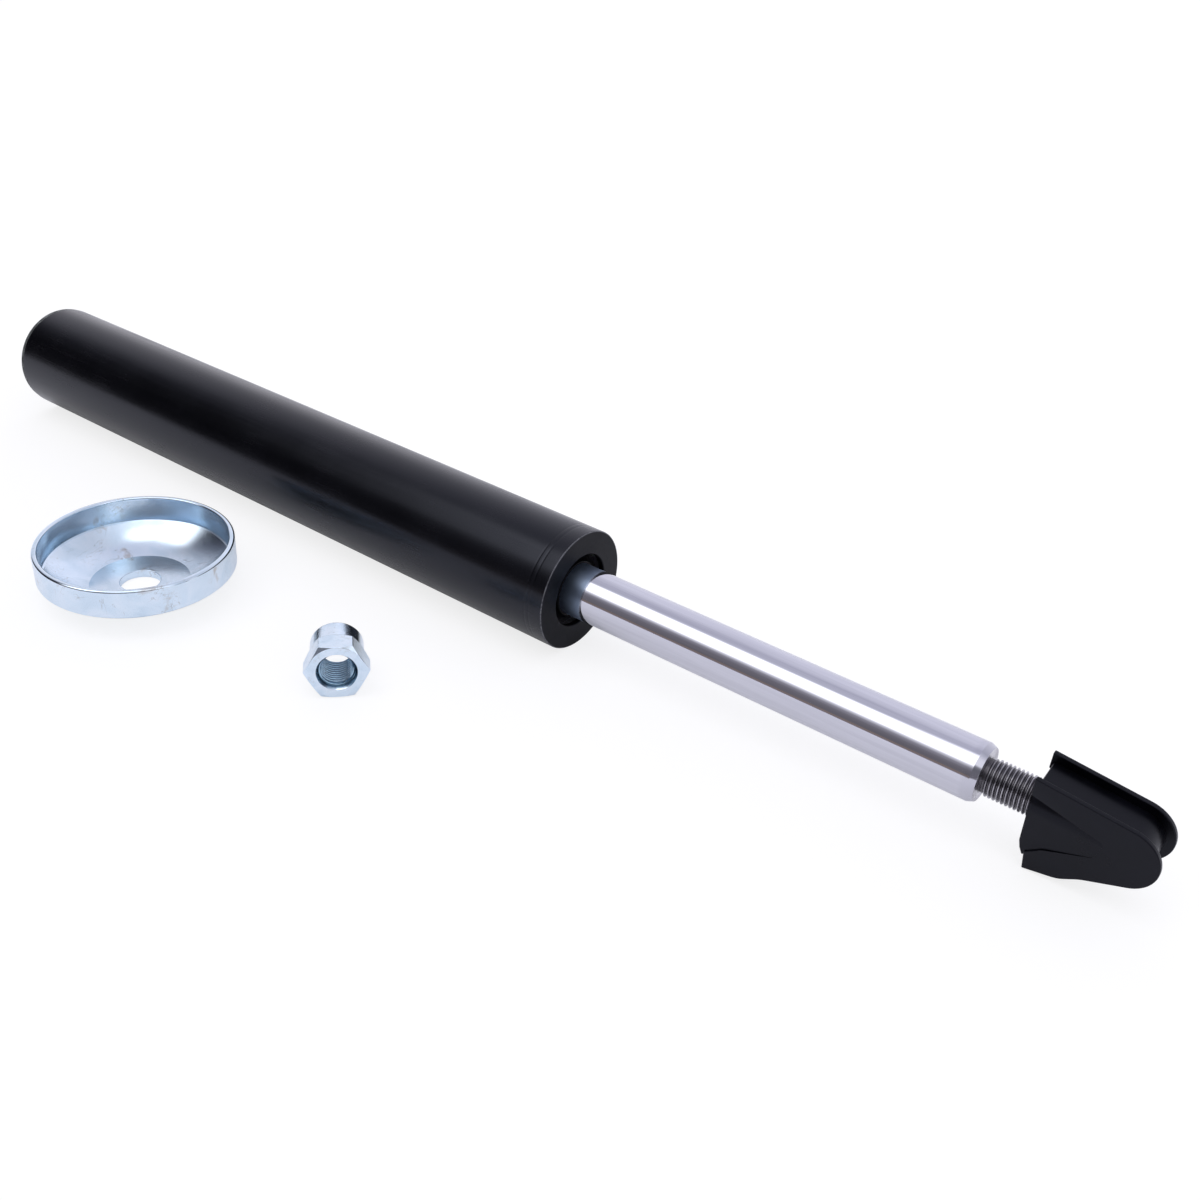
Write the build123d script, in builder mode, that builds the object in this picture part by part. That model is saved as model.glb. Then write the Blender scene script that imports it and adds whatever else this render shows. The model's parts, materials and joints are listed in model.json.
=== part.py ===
from build123d import *

import os
from math import atan, cos, hypot, radians, sin, tan

# A gas-pressure shock absorber insert of the twin-tube kind, lying on its side with its rod
# fully out. Beside it lie its dished washer and its collar nut, and a plastic strap saddle
# is pushed on the stud. All sizes are in millimetres.
#
# The origin is the centre of the base face. +X runs along the rod, out of the mouth, and +Z
# is up. The tube's lowest line, the washer and the nut all stand on one floor.

os.makedirs("parts", exist_ok=True)

# Fits
seat_gap = 0.05  # radial gap between pieces that are pressed or held together
running_gap = 0.04  # radial gap between pieces that slide or turn in each other
side_gap = 0.1  # end gap beside a ring that turns in its groove
stop_gap = 0.3  # gap left at a stop

# Outer tube
tube_diameter = 51.0
tube_wall = 2.2
body_length = 347.6  # base face to mouth face
mouth_diameter = 31.4  # hole in the turned-in end
mouth_lip = 2.6  # thickness of the turned-in end
tube_chamfer = 0.4
roll_marks = (6.4, 8.6)  # setbacks of the faint rolled lines from the mouth face
roll_mark_width = 0.6
roll_mark_depth = 0.08

# Base cap
cap_rim = 2.0
cap_step = 0.3  # the cap's rim stands in from the tube's skin by this
cap_seam = 0.2  # open seam between the rim and the tube
cap_floor = 5.0
cap_depth = 12.0
cap_wall = 3.0
dimple_radius = 7.0
dimple_depth = 1.2

# Pressure tube
pressure_bore = 32.0
pressure_wall = 1.5

# Foot valve
skirt_wall = 3.5
skirt_slot_width = 7.0
skirt_slot_height = 4.0
skirt_slots = 4
valve_flange = 4.0
valve_spigot = 8.0
intake_holes = 6
intake_hole_diameter = 3.4
intake_hole_circle = 23.4
bleed_holes = 6
bleed_hole_diameter = 2.2
bleed_hole_circle = 14.4
valve_boss_radius = 5.2
valve_boss_height = 3.0
intake_disc_thickness = 0.5
disc_overlap = 0.6  # how far a valve disc covers past the holes' edges
foot_bolt_radius = 3.0
foot_bolt_head_radius = 6.4
foot_bolt_head = 3.0
foot_shim_thickness = 0.9
foot_nut_width = 10.0  # across flats
foot_nut_height = 4.6
bolt_stick_out = 0.9

# Rod guide, bush and seals
guide_head = 14.0
guide_spigot = 12.0
guide_lip = 2.0  # holds the bush from below
guide_lip_clearance = 0.5
bush_wall = 1.5
bush_length = 16.0
oil_well_depth = 5.0
oil_well_wall = 3.35  # metal left round the oil well
drain_holes = 2
drain_hole_diameter = 1.8
drain_wall = 0.5  # metal left between a drain hole and the spigot's skin
o_ring_section = 1.8
o_ring_groove_width = 2.6
o_ring_groove_setback = 3.0  # from the guide's shoulder
seal_height = 8.0
seal_washer_thickness = 2.5
seal_washer_clearance = 0.4
backing_thickness = 2.0
backing_overlap = 2.6  # how far the backing ring reaches in past the oil well
wiper_height = 3.0  # wiper lip above the seal's face
wiper_width = 3.2
seal_lip_width = 1.4
oil_lip_depth = 4.0
garter_section = 1.4

# Piston rod and stud
rod_diameter = 22.0
rod_exposed = 174.4  # mouth face to rod shoulder
rod_chamfer_length = 2.4
rod_chamfer_depth = 1.0
stud_diameter = 14.0
stud_length = 38.0
stud_neck_diameter = 12.2
stud_neck_length = 2.2
stud_chamfer = 1.2
stop_ring_thickness = 3.0
stop_ring_radius = 14.6
stop_ring_groove = 0.8
cushion_thickness = 6.0
cushion_radius = 15.0
rod_land = 10.0  # rod below the stop ring
tenon_diameter = 12.0
tenon_end_chamfer = 1.0
tenon_stick_out = 2.0

# Piston
piston_height = 12.0
piston_clearance = 0.5
piston_boss_radius = 7.2
piston_boss_height = 4.0
bypass_holes = 6
bypass_hole_diameter = 3.0
bypass_hole_circle = 24.4
rebound_holes = 6
rebound_hole_diameter = 1.9
rebound_hole_circle = 17.8
band_width = 8.0
band_thickness = 1.2
band_split = 0.8
stop_washer_thickness = 1.8
stop_washer_radius = 10.9
bypass_disc_thickness = 0.5
spring_sheet = 0.4
shim_thickness = 1.2
shim_washer_radius = 8.4
shim_washer_thickness = 2.0
piston_nut_width = 18.0  # across flats
piston_nut_height = 9.0

# Strap saddle, measured along the rod from the socket's bottom and across the rod from its axis
saddle_width = 17.2
saddle_cheek = 2.0
saddle_roll = 5.9  # degrees that it is turned on the stud
saddle_web = 2.2
channel_depth = 3.3
web_setback = 1.5  # the channel's floor stops short of the upper leg's end by this
nose_radius = 12.4
nose_centre = (11.1, -0.5)
upper_leg_end = (-20.4, 15.6)
lower_leg_waist = (1.5, -17.9)
lower_leg_bend = (-5.2, -22.2)
lower_leg_end = (-24.0, -26.0)
waist_radius = 20.0
bend_radius = 12.0
notch_upper_apex = (5.5, 1.4)
notch_lower_apex = (3.4, -6.0)
notch_upper_end = (-20.6, 8.5)
notch_lower_bend = (-12.7, -12.9)
notch_lower_end = (-24.0, -21.9)
notch_radius = 1.2
lower_leg_cut = ((-18.0, -16.5), (-17.0, -27.0))  # the lower leg's end, from its top to its bottom
socket_block = 9.0  # the body between the legs is solid this far back from the socket's bottom
socket_depth = 20.4
socket_lead_in = 0.4
housing_end_radius = 7.8  # round housing of the socket, which widens towards the nose
housing_end = ((-20.7, -8.7), (-20.7, -12.9), (-19.8, -16.8), (-18.5, -19.6))
housing_wall = 1.4

# Dished washer
washer_radius = 40.4
washer_height = 22.8
washer_wall = 2.3
washer_bevel = 0.6
washer_crease_height = 10.8  # where the wall turns in to the dish
washer_shelf_height = 11.5
washer_centre_thickness = 3.4
washer_flat_radius = 20.6
washer_hole_radius = 8.3
washer_centre = (183.7, -92.2)

# Collar nut
nut_width = 22.0  # across flats
nut_length = 20.6
nut_hex_length = 10.6
nut_rear_taper = 2.6  # the hexagon's corners run down to the collar over this length
nut_collar_radius = 10.4
nut_face_radius = 11.5
nut_chamfer_angle = 30.0
nut_thread_minor = 12.4
nut_mouth_radius = 7.9
nut_mouth_angle = 30.0
nut_collar_chamfer = 0.5
nut_place = (302.4, -91.2)  # centre of the hexagon's front face, seen from above
nut_heading = 136.6  # degrees from +X to the nut's axis, front to back

# Radii that follow
tube_radius = tube_diameter / 2
tube_bore_radius = tube_radius - tube_wall
mouth_radius = mouth_diameter / 2
cap_radius = tube_radius - cap_step
cap_spigot_radius = tube_bore_radius - seat_gap
pressure_bore_radius = pressure_bore / 2
pressure_radius = pressure_bore_radius + pressure_wall
spigot_radius = pressure_bore_radius - seat_gap
rod_radius = rod_diameter / 2
rod_hole_radius = rod_radius + running_gap
bush_radius = rod_hole_radius + bush_wall
guide_radius = tube_bore_radius - seat_gap
oil_well_radius = guide_radius - oil_well_wall
stud_radius = stud_diameter / 2
tenon_radius = tenon_diameter / 2
tenon_hole_radius = tenon_radius + seat_gap
piston_radius = pressure_bore_radius - piston_clearance
band_outer_radius = pressure_bore_radius - running_gap
band_inner_radius = band_outer_radius - band_thickness
band_groove_radius = band_inner_radius - running_gap

# Stations along the axis, from the base
skirt_start = cap_floor
flange_start = cap_depth
pressure_start = flange_start + valve_flange
valve_top = pressure_start + valve_spigot
lip_inner = body_length - mouth_lip
seal_top = lip_inner - seal_washer_thickness
guide_top = seal_top - seal_height
guide_shoulder = guide_top - guide_head
guide_bottom = guide_shoulder - guide_spigot
cushion_top = guide_bottom - stop_gap
stop_ring_top = cushion_top - cushion_thickness
stop_ring_bottom = stop_ring_top - stop_ring_thickness
tenon_start = stop_ring_bottom - rod_land
boss_top = tenon_start - stop_washer_thickness
piston_top = boss_top - piston_boss_height
piston_bottom = piston_top - piston_height
shim_bottom = piston_bottom - shim_thickness
shim_washer_bottom = shim_bottom - shim_washer_thickness
piston_nut_bottom = shim_washer_bottom - piston_nut_height
tenon_end = piston_nut_bottom - tenon_stick_out
rod_shoulder = body_length + rod_exposed
stud_end = rod_shoulder + stud_length
floor_z = -tube_radius

# Profiles of turned pieces lie in this plane, as (place along the axis, radius).
profile_plane = Plane.XZ


def across(place):
    """A plane square to the axis, facing the mouth."""
    return Plane(origin=(place, 0, 0), x_dir=(0, 1, 0), z_dir=(1, 0, 0))


def ring_points(start, end, inner, outer):
    """The four corners of a plain ring's section."""
    return [(start, inner), (end, inner), (end, outer), (start, outer)]


def finish(piece, name):
    """Labels a finished piece and writes its file."""
    piece.part.label = name
    export_step(piece.part, f"parts/{name}.step")


# The outer tube. Its end is turned in over the seals, and the rolling has left faint lines.
tube_start = cap_rim + cap_seam
with BuildPart() as outer_tube:
    with BuildSketch(profile_plane):
        with BuildLine():
            Polyline(
                (tube_start, tube_bore_radius),
                (lip_inner, tube_bore_radius),
                (lip_inner, mouth_radius),
                (body_length, mouth_radius),
                (body_length, tube_radius - tube_chamfer),
                (body_length - tube_chamfer, tube_radius),
                (tube_start, tube_radius),
                close=True,
            )
        make_face()
    revolve(axis=Axis.X)
    with BuildSketch(profile_plane):
        for setback in roll_marks:
            with Locations((body_length - setback, tube_radius)):
                Rectangle(roll_mark_width, 2 * roll_mark_depth)
    revolve(axis=Axis.X, mode=Mode.SUBTRACT)
finish(outer_tube, "outer_tube")

# The base cap, a pressing with its rim against the tube's end and a small centre dimple.
with BuildPart() as base_cap:
    with BuildSketch(profile_plane):
        with BuildLine():
            Polyline(
                (dimple_depth, 0),
                (0, dimple_radius),
                (0, cap_radius),
                (cap_rim, cap_radius),
                (cap_rim, cap_spigot_radius),
                (cap_depth, cap_spigot_radius),
                (cap_depth, cap_spigot_radius - cap_wall),
                (cap_floor, cap_spigot_radius - cap_wall),
                (cap_floor, 0),
                close=True,
            )
        make_face()
    revolve(axis=Axis.X)
finish(base_cap, "base_cap")

# The pressure tube, between the foot valve's flange and the guide's shoulder.
with BuildPart() as pressure_tube:
    with BuildSketch(profile_plane):
        with BuildLine():
            Polyline(
                *ring_points(pressure_start, guide_shoulder, pressure_bore_radius, pressure_radius),
                close=True,
            )
        make_face()
    revolve(axis=Axis.X)
finish(pressure_tube, "pressure_tube")

# The foot valve's body: a slotted skirt on the base cap, a flange under the pressure tube,
# a spigot in its bore, and a boss that carries the intake spring.
skirt_inner = pressure_radius - skirt_wall
with BuildPart() as foot_valve_body:
    with BuildSketch(profile_plane):
        with BuildLine():
            Polyline(
                (skirt_start, skirt_inner),
                (skirt_start, pressure_radius),
                (pressure_start, pressure_radius),
                (pressure_start, spigot_radius),
                (valve_top, spigot_radius),
                (valve_top, valve_boss_radius),
                (valve_top + valve_boss_height, valve_boss_radius),
                (valve_top + valve_boss_height, foot_bolt_radius + seat_gap),
                (flange_start, foot_bolt_radius + seat_gap),
                (flange_start, skirt_inner),
                close=True,
            )
        make_face()
    revolve(axis=Axis.X)
    with BuildSketch(across(skirt_start)):
        with PolarLocations((skirt_inner + pressure_radius) / 2, skirt_slots):
            Rectangle(2 * skirt_wall, skirt_slot_width)
    extrude(amount=skirt_slot_height, mode=Mode.SUBTRACT)
    with BuildSketch(across(flange_start)):
        with PolarLocations(intake_hole_circle / 2, intake_holes):
            Circle(intake_hole_diameter / 2)
        with PolarLocations(bleed_hole_circle / 2, bleed_holes, start_angle=180 / bleed_holes):
            Circle(bleed_hole_diameter / 2)
    extrude(amount=valve_flange + valve_spigot, mode=Mode.SUBTRACT)
finish(foot_valve_body, "foot_valve_body")

# The intake disc, over the outer ring of holes, and the conical spring that holds it down.
intake_disc_inner = (intake_hole_circle - intake_hole_diameter) / 2 - disc_overlap
intake_disc_outer = (intake_hole_circle + intake_hole_diameter) / 2 + disc_overlap
intake_disc_top = valve_top + intake_disc_thickness
with BuildPart() as intake_disc:
    with BuildSketch(profile_plane):
        with BuildLine():
            Polyline(
                *ring_points(valve_top, intake_disc_top, intake_disc_inner, intake_disc_outer),
                close=True,
            )
        make_face()
    revolve(axis=Axis.X)
finish(intake_disc, "intake_disc")

intake_spring_top = valve_top + valve_boss_height
with BuildPart() as intake_spring:
    with BuildSketch(profile_plane):
        with BuildLine():
            Polyline(
                (intake_disc_top, intake_disc_outer - 1.5),
                (intake_disc_top, intake_disc_outer - 0.5),
                (intake_disc_top + spring_sheet, intake_disc_outer - 0.5),
                (intake_spring_top, valve_boss_radius + 1.0),
                (intake_spring_top, valve_boss_radius + seat_gap),
                (intake_spring_top - spring_sheet, valve_boss_radius + seat_gap),
                close=True,
            )
        make_face()
    revolve(axis=Axis.X)
    with BuildSketch(across(valve_top)):
        with PolarLocations((valve_boss_radius + intake_disc_outer) / 2, 6):
            SlotOverall(3.6, 2.0)
    extrude(amount=valve_boss_height * 2, mode=Mode.SUBTRACT)
finish(intake_spring, "intake_spring")

# The shims under the bleed holes, on the base side.
foot_shim_bottom = flange_start - foot_shim_thickness
with BuildPart() as compression_shims:
    with BuildSketch(profile_plane):
        with BuildLine():
            Polyline(
                *ring_points(
                    foot_shim_bottom,
                    flange_start,
                    foot_bolt_radius + seat_gap,
                    (bleed_hole_circle + bleed_hole_diameter) / 2 + disc_overlap,
                ),
                close=True,
            )
        make_face()
    revolve(axis=Axis.X)
finish(compression_shims, "compression_shims")

# The bolt and nut that hold the foot valve together.
foot_nut_bottom = foot_shim_bottom - foot_nut_height
with BuildPart() as foot_valve_bolt:
    with BuildSketch(profile_plane):
        with BuildLine():
            Polyline(
                (foot_nut_bottom - bolt_stick_out, 0),
                (foot_nut_bottom - bolt_stick_out, foot_bolt_radius - bolt_stick_out / 2),
                (foot_nut_bottom - bolt_stick_out / 2, foot_bolt_radius),
                (intake_spring_top, foot_bolt_radius),
                (intake_spring_top, foot_bolt_head_radius),
                (intake_spring_top + foot_bolt_head, foot_bolt_head_radius),
                (intake_spring_top + foot_bolt_head, 0),
                close=True,
            )
        make_face()
    revolve(axis=Axis.X)
    with BuildSketch(across(intake_spring_top + foot_bolt_head)):
        RegularPolygon(foot_bolt_radius, 6)
    extrude(amount=-foot_bolt_head * 2 / 3, mode=Mode.SUBTRACT)
finish(foot_valve_bolt, "foot_valve_bolt")

with BuildPart() as foot_valve_nut:
    with BuildSketch(across(foot_nut_bottom)):
        RegularPolygon(foot_nut_width / 2, 6, major_radius=False)
        Circle(foot_bolt_radius + seat_gap, mode=Mode.SUBTRACT)
    extrude(amount=foot_nut_height)
finish(foot_valve_nut, "foot_valve_nut")

# The rod guide: a head in the outer tube, a spigot in the pressure tube, an oil well under
# the seal, a groove for its ring, and drain holes to the space between the tubes.
guide_bore_radius = bush_radius + seat_gap
o_ring_radius = guide_radius - o_ring_section / 2
groove_start = guide_shoulder + o_ring_groove_setback
groove_end = groove_start + o_ring_groove_width
bush_start = guide_bottom + guide_lip
with BuildPart() as rod_guide:
    with BuildSketch(profile_plane):
        with BuildLine():
            Polyline(
                (guide_bottom, rod_hole_radius + guide_lip_clearance),
                (guide_bottom, spigot_radius),
                (guide_shoulder, spigot_radius),
                (guide_shoulder, guide_radius),
                (groove_start, guide_radius),
                (groove_start, o_ring_radius - o_ring_section / 2 - seat_gap),
                (groove_end, o_ring_radius - o_ring_section / 2 - seat_gap),
                (groove_end, guide_radius),
                (guide_top, guide_radius),
                (guide_top, oil_well_radius),
                (guide_top - oil_well_depth, oil_well_radius),
                (guide_top - oil_well_depth, guide_bore_radius),
                (bush_start, guide_bore_radius),
                (bush_start, rod_hole_radius + guide_lip_clearance),
                close=True,
            )
        make_face()
    revolve(axis=Axis.X)
    with BuildSketch(across(guide_shoulder)):
        with PolarLocations(pressure_radius + drain_wall + drain_hole_diameter / 2, drain_holes):
            Circle(drain_hole_diameter / 2)
    extrude(amount=guide_head, mode=Mode.SUBTRACT)
finish(rod_guide, "rod_guide")

with BuildPart() as guide_bush:
    with BuildSketch(profile_plane):
        with BuildLine():
            Polyline(
                *ring_points(bush_start, bush_start + bush_length, rod_hole_radius, bush_radius),
                close=True,
            )
        make_face()
    revolve(axis=Axis.X)
finish(guide_bush, "guide_bush")

with BuildPart() as guide_o_ring:
    with BuildSketch(profile_plane):
        with Locations(((groove_start + groove_end) / 2, o_ring_radius)):
            Circle(o_ring_section / 2)
    revolve(axis=Axis.X)
finish(guide_o_ring, "guide_o_ring")

# The oil seal: a rubber body with a wiper lip that stands up round the rod, a main lip, and
# an oil lip that hangs in the guide's well with a garter spring round it.
seal_root_radius = rod_hole_radius + seal_lip_width
backing_radius = oil_well_radius - backing_overlap
garter_radius = seal_root_radius + seal_lip_width / 2 + garter_section / 2
garter_place = guide_top - oil_lip_depth + garter_section
with BuildPart() as seal_backing_ring:
    with BuildSketch(profile_plane):
        with BuildLine():
            Polyline(
                *ring_points(guide_top, guide_top + backing_thickness, backing_radius, guide_radius),
                close=True,
            )
        make_face()
    revolve(axis=Axis.X)
finish(seal_backing_ring, "seal_backing_ring")

with BuildPart() as oil_seal:
    with BuildSketch(profile_plane):
        with BuildLine():
            Polyline(
                (guide_top - oil_lip_depth, garter_radius - garter_section / 2 - seat_gap),
                (garter_place + garter_section, garter_radius - garter_section / 2 - seat_gap),
                (guide_top, backing_radius - seat_gap),
                (guide_top + backing_thickness, backing_radius - seat_gap),
                (guide_top + backing_thickness, guide_radius),
                (seal_top, guide_radius),
                (seal_top, rod_hole_radius + wiper_width),
                (seal_top + wiper_height / 2, rod_hole_radius + wiper_width / 2),
                (seal_top + wiper_height, rod_hole_radius + wiper_width / 4),
                (seal_top + wiper_height, rod_hole_radius),
                (seal_top + wiper_height / 2, rod_hole_radius),
                (seal_top, seal_root_radius),
                (guide_top + seal_height / 2, seal_root_radius),
                (guide_top + seal_height / 3, rod_hole_radius),
                (guide_top + seal_height / 5, rod_hole_radius),
                (guide_top, seal_root_radius),
                (guide_top - oil_lip_depth / 2, seal_root_radius - seal_lip_width / 4),
                (guide_top - oil_lip_depth + garter_section / 2, rod_hole_radius),
                (guide_top - oil_lip_depth, rod_hole_radius),
                close=True,
            )
        make_face()
    revolve(axis=Axis.X)
finish(oil_seal, "oil_seal")

with BuildPart() as garter_spring:
    with BuildSketch(profile_plane):
        with Locations((garter_place, garter_radius)):
            Circle(garter_section / 2)
    revolve(axis=Axis.X)
finish(garter_spring, "garter_spring")

with BuildPart() as seal_washer:
    with BuildSketch(profile_plane):
        with BuildLine():
            Polyline(
                *ring_points(seal_top, lip_inner, mouth_radius + seal_washer_clearance, guide_radius),
                close=True,
            )
        make_face()
    revolve(axis=Axis.X)
finish(seal_washer, "seal_washer")

# The piston rod: a chrome shaft with a groove for its stop ring, a tenon for the piston, a
# chamfered shoulder and a stud whose thread starts past a short neck.
stop_groove_radius = rod_radius - stop_ring_groove
with BuildPart() as piston_rod:
    with BuildSketch(profile_plane):
        with BuildLine():
            Polyline(
                (tenon_end, 0),
                (tenon_end, tenon_radius - tenon_end_chamfer),
                (tenon_end + tenon_end_chamfer, tenon_radius),
                (tenon_start, tenon_radius),
                (tenon_start, rod_radius),
                (stop_ring_bottom, rod_radius),
                (stop_ring_bottom, stop_groove_radius),
                (stop_ring_top, stop_groove_radius),
                (stop_ring_top, rod_radius),
                (rod_shoulder - rod_chamfer_length, rod_radius),
                (rod_shoulder, rod_radius - rod_chamfer_depth),
                (rod_shoulder, stud_neck_diameter / 2),
                (rod_shoulder + stud_neck_length, stud_neck_diameter / 2),
                (rod_shoulder + stud_neck_length, stud_radius),
                (stud_end - stud_chamfer, stud_radius),
                (stud_end, stud_radius - stud_chamfer),
                (stud_end, 0),
                close=True,
            )
        make_face()
    revolve(axis=Axis.X)
finish(piston_rod, "piston_rod")

# The rebound stop: a steel ring in the rod's groove and a cushion between it and the guide.
with BuildPart() as rebound_stop_ring:
    with BuildSketch(profile_plane):
        with BuildLine():
            Polyline(
                *ring_points(
                    stop_ring_bottom,
                    stop_ring_top,
                    stop_groove_radius + seat_gap,
                    stop_ring_radius,
                ),
                close=True,
            )
        make_face()
    revolve(axis=Axis.X)
finish(rebound_stop_ring, "rebound_stop_ring")

with BuildPart() as rebound_cushion:
    with BuildSketch(profile_plane):
        with BuildLine():
            Polyline(
                *ring_points(stop_ring_top, cushion_top, rod_radius + seat_gap, cushion_radius),
                close=True,
            )
        make_face()
    revolve(axis=Axis.X)
    fillet(rebound_cushion.edges().filter_by(GeomType.CIRCLE).group_by(SortBy.RADIUS)[-1], 1.0)
finish(rebound_cushion, "rebound_cushion")

# The piston, with bypass holes, rebound holes, a clamping boss and the groove of its band.
band_start = (piston_top + piston_bottom - band_width) / 2
band_end = band_start + band_width
with BuildPart() as piston:
    with BuildSketch(profile_plane):
        with BuildLine():
            Polyline(
                (piston_bottom, tenon_hole_radius),
                (piston_bottom, piston_radius),
                (band_start - side_gap, piston_radius),
                (band_start - side_gap, band_groove_radius),
                (band_end + side_gap, band_groove_radius),
                (band_end + side_gap, piston_radius),
                (piston_top, piston_radius),
                (piston_top, piston_boss_radius),
                (boss_top, piston_boss_radius),
                (boss_top, tenon_hole_radius),
                close=True,
            )
        make_face()
    revolve(axis=Axis.X)
    with BuildSketch(across(piston_bottom)):
        with PolarLocations(bypass_hole_circle / 2, bypass_holes):
            Circle(bypass_hole_diameter / 2)
        with PolarLocations(rebound_hole_circle / 2, rebound_holes, start_angle=180 / rebound_holes):
            Circle(rebound_hole_diameter / 2)
    extrude(amount=piston_height, mode=Mode.SUBTRACT)
finish(piston, "piston")

# The band is a split ring that runs in the pressure tube.
with BuildPart() as piston_band:
    with BuildSketch(profile_plane):
        with BuildLine():
            Polyline(
                *ring_points(band_start, band_end, band_inner_radius, band_outer_radius),
                close=True,
            )
        make_face()
    revolve(axis=Axis.X)
    with BuildSketch(Plane.XY):
        with Locations(((band_start + band_end) / 2, 0)):
            Rectangle(2 * band_width, band_split, rotation=30)
    extrude(amount=pressure_bore, mode=Mode.SUBTRACT)
finish(piston_band, "piston_band")

with BuildPart() as stop_washer:
    with BuildSketch(profile_plane):
        with BuildLine():
            Polyline(
                *ring_points(boss_top, tenon_start, tenon_hole_radius, stop_washer_radius),
                close=True,
            )
        make_face()
    revolve(axis=Axis.X)
finish(stop_washer, "stop_washer")

# The bypass disc on the piston's rod side and its conical spring.
bypass_disc_inner = (bypass_hole_circle - bypass_hole_diameter) / 2 - disc_overlap
bypass_disc_outer = (bypass_hole_circle + bypass_hole_diameter) / 2 + disc_overlap
bypass_disc_top = piston_top + bypass_disc_thickness
with BuildPart() as bypass_disc:
    with BuildSketch(profile_plane):
        with BuildLine():
            Polyline(
                *ring_points(piston_top, bypass_disc_top, bypass_disc_inner, bypass_disc_outer),
                close=True,
            )
        make_face()
    revolve(axis=Axis.X)
finish(bypass_disc, "bypass_disc")

with BuildPart() as bypass_spring:
    with BuildSketch(profile_plane):
        with BuildLine():
            Polyline(
                (bypass_disc_top, bypass_disc_outer - 1.6),
                (bypass_disc_top, bypass_disc_outer - 0.6),
                (bypass_disc_top + spring_sheet, bypass_disc_outer - 0.6),
                (boss_top, piston_boss_radius + 1.1),
                (boss_top, piston_boss_radius + seat_gap),
                (boss_top - spring_sheet, piston_boss_radius + seat_gap),
                close=True,
            )
        make_face()
    revolve(axis=Axis.X)
finish(bypass_spring, "bypass_spring")

# The rebound shims, their support washer and the piston nut.
with BuildPart() as rebound_shims:
    with BuildSketch(profile_plane):
        with BuildLine():
            Polyline(
                *ring_points(
                    shim_bottom,
                    piston_bottom,
                    tenon_hole_radius,
                    (rebound_hole_circle + rebound_hole_diameter) / 2 + disc_overlap / 2,
                ),
                close=True,
            )
        make_face()
    revolve(axis=Axis.X)
finish(rebound_shims, "rebound_shims")

with BuildPart() as shim_washer:
    with BuildSketch(profile_plane):
        with BuildLine():
            Polyline(
                *ring_points(shim_washer_bottom, shim_bottom, tenon_hole_radius, shim_washer_radius),
                close=True,
            )
        make_face()
    revolve(axis=Axis.X)
finish(shim_washer, "shim_washer")

with BuildPart() as piston_nut:
    with BuildSketch(across(piston_nut_bottom)):
        RegularPolygon(piston_nut_width / 2, 6, major_radius=False)
        Circle(tenon_hole_radius, mode=Mode.SUBTRACT)
    extrude(amount=piston_nut_height)
finish(piston_nut, "piston_nut")


# The strap saddle. Its side outline is two legs that spread from a round nose. A point of the
# outline is (place along the rod from the socket's bottom, height across the rod).
def unit(vector):
    """A vector of length one."""
    length = hypot(*vector)
    return (vector[0] / length, vector[1] / length)


def touch_direction(end, upper):
    """Direction from the nose's centre to where a straight leg edge from end touches it."""
    reach = (end[0] - nose_centre[0], end[1] - nose_centre[1])
    along = unit(reach)
    square = (along[1], -along[0]) if upper else (-along[1], along[0])
    share = nose_radius / hypot(*reach)
    rest = (1 - share**2) ** 0.5
    return (share * along[0] + rest * square[0], share * along[1] + rest * square[1])


def edge_normal(start, end):
    """The outward normal of a straight lower edge that runs from start to end."""
    along = unit((end[0] - start[0], end[1] - start[1]))
    return (-along[1], along[0])


def moved(point, direction, distance):
    """A point moved along a direction."""
    return (point[0] + direction[0] * distance, point[1] + direction[1] * distance)


def inset_corner(point, first, second, inset):
    """The corner of two edges after both move inwards by inset; first and second are normals."""
    both = (first[0] + second[0], first[1] + second[1])
    return moved(point, both, -inset / (1 + first[0] * second[0] + first[1] * second[1]))


upper_normal = touch_direction(upper_leg_end, True)
waist_normal = touch_direction(lower_leg_waist, False)
bend_normal = edge_normal(lower_leg_waist, lower_leg_bend)
end_normal = edge_normal(lower_leg_bend, lower_leg_end)
upper_web_end = moved(upper_leg_end, (upper_normal[1], -upper_normal[0]), web_setback)


def legs_outline(inset):
    """The outer edge of both legs and the nose, moved inwards by inset, from end to end."""
    radius = nose_radius - inset
    return {
        "upper_end": moved(upper_web_end if inset else upper_leg_end, upper_normal, -inset),
        "upper_touch": moved(nose_centre, upper_normal, radius),
        "nose": (nose_centre[0] + radius, nose_centre[1]),
        "lower_touch": moved(nose_centre, waist_normal, radius),
        "waist": inset_corner(lower_leg_waist, waist_normal, bend_normal, inset),
        "bend": inset_corner(lower_leg_bend, bend_normal, end_normal, inset),
        "lower_end": moved(lower_leg_end, end_normal, -inset),
    }


def outline_lines(edge):
    """Draws the legs' outer edge from the upper end round the nose to the lower end."""
    Line(edge["upper_end"], edge["upper_touch"])
    ThreePointArc(edge["upper_touch"], edge["nose"], edge["lower_touch"])
    Polyline(edge["lower_touch"], edge["waist"], edge["bend"], edge["lower_end"])


socket_bottom = stud_end + stop_gap
roll = radians(saddle_roll)
saddle_side = Plane(origin=(socket_bottom, 0, 0), x_dir=(1, 0, 0), z_dir=(0, -cos(roll), -sin(roll)))
saddle_top = Plane(origin=(socket_bottom, 0, 0), x_dir=(1, 0, 0), z_dir=(0, -sin(roll), cos(roll)))
cheek_outline = legs_outline(0)
floor_outline = legs_outline(channel_depth)
pocket_outline = legs_outline(channel_depth + saddle_web)
inner_width = saddle_width - 2 * saddle_cheek
half_width = saddle_width / 2
flush = notch_upper_apex[0]  # the housing is flush with the cheeks here

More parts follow.
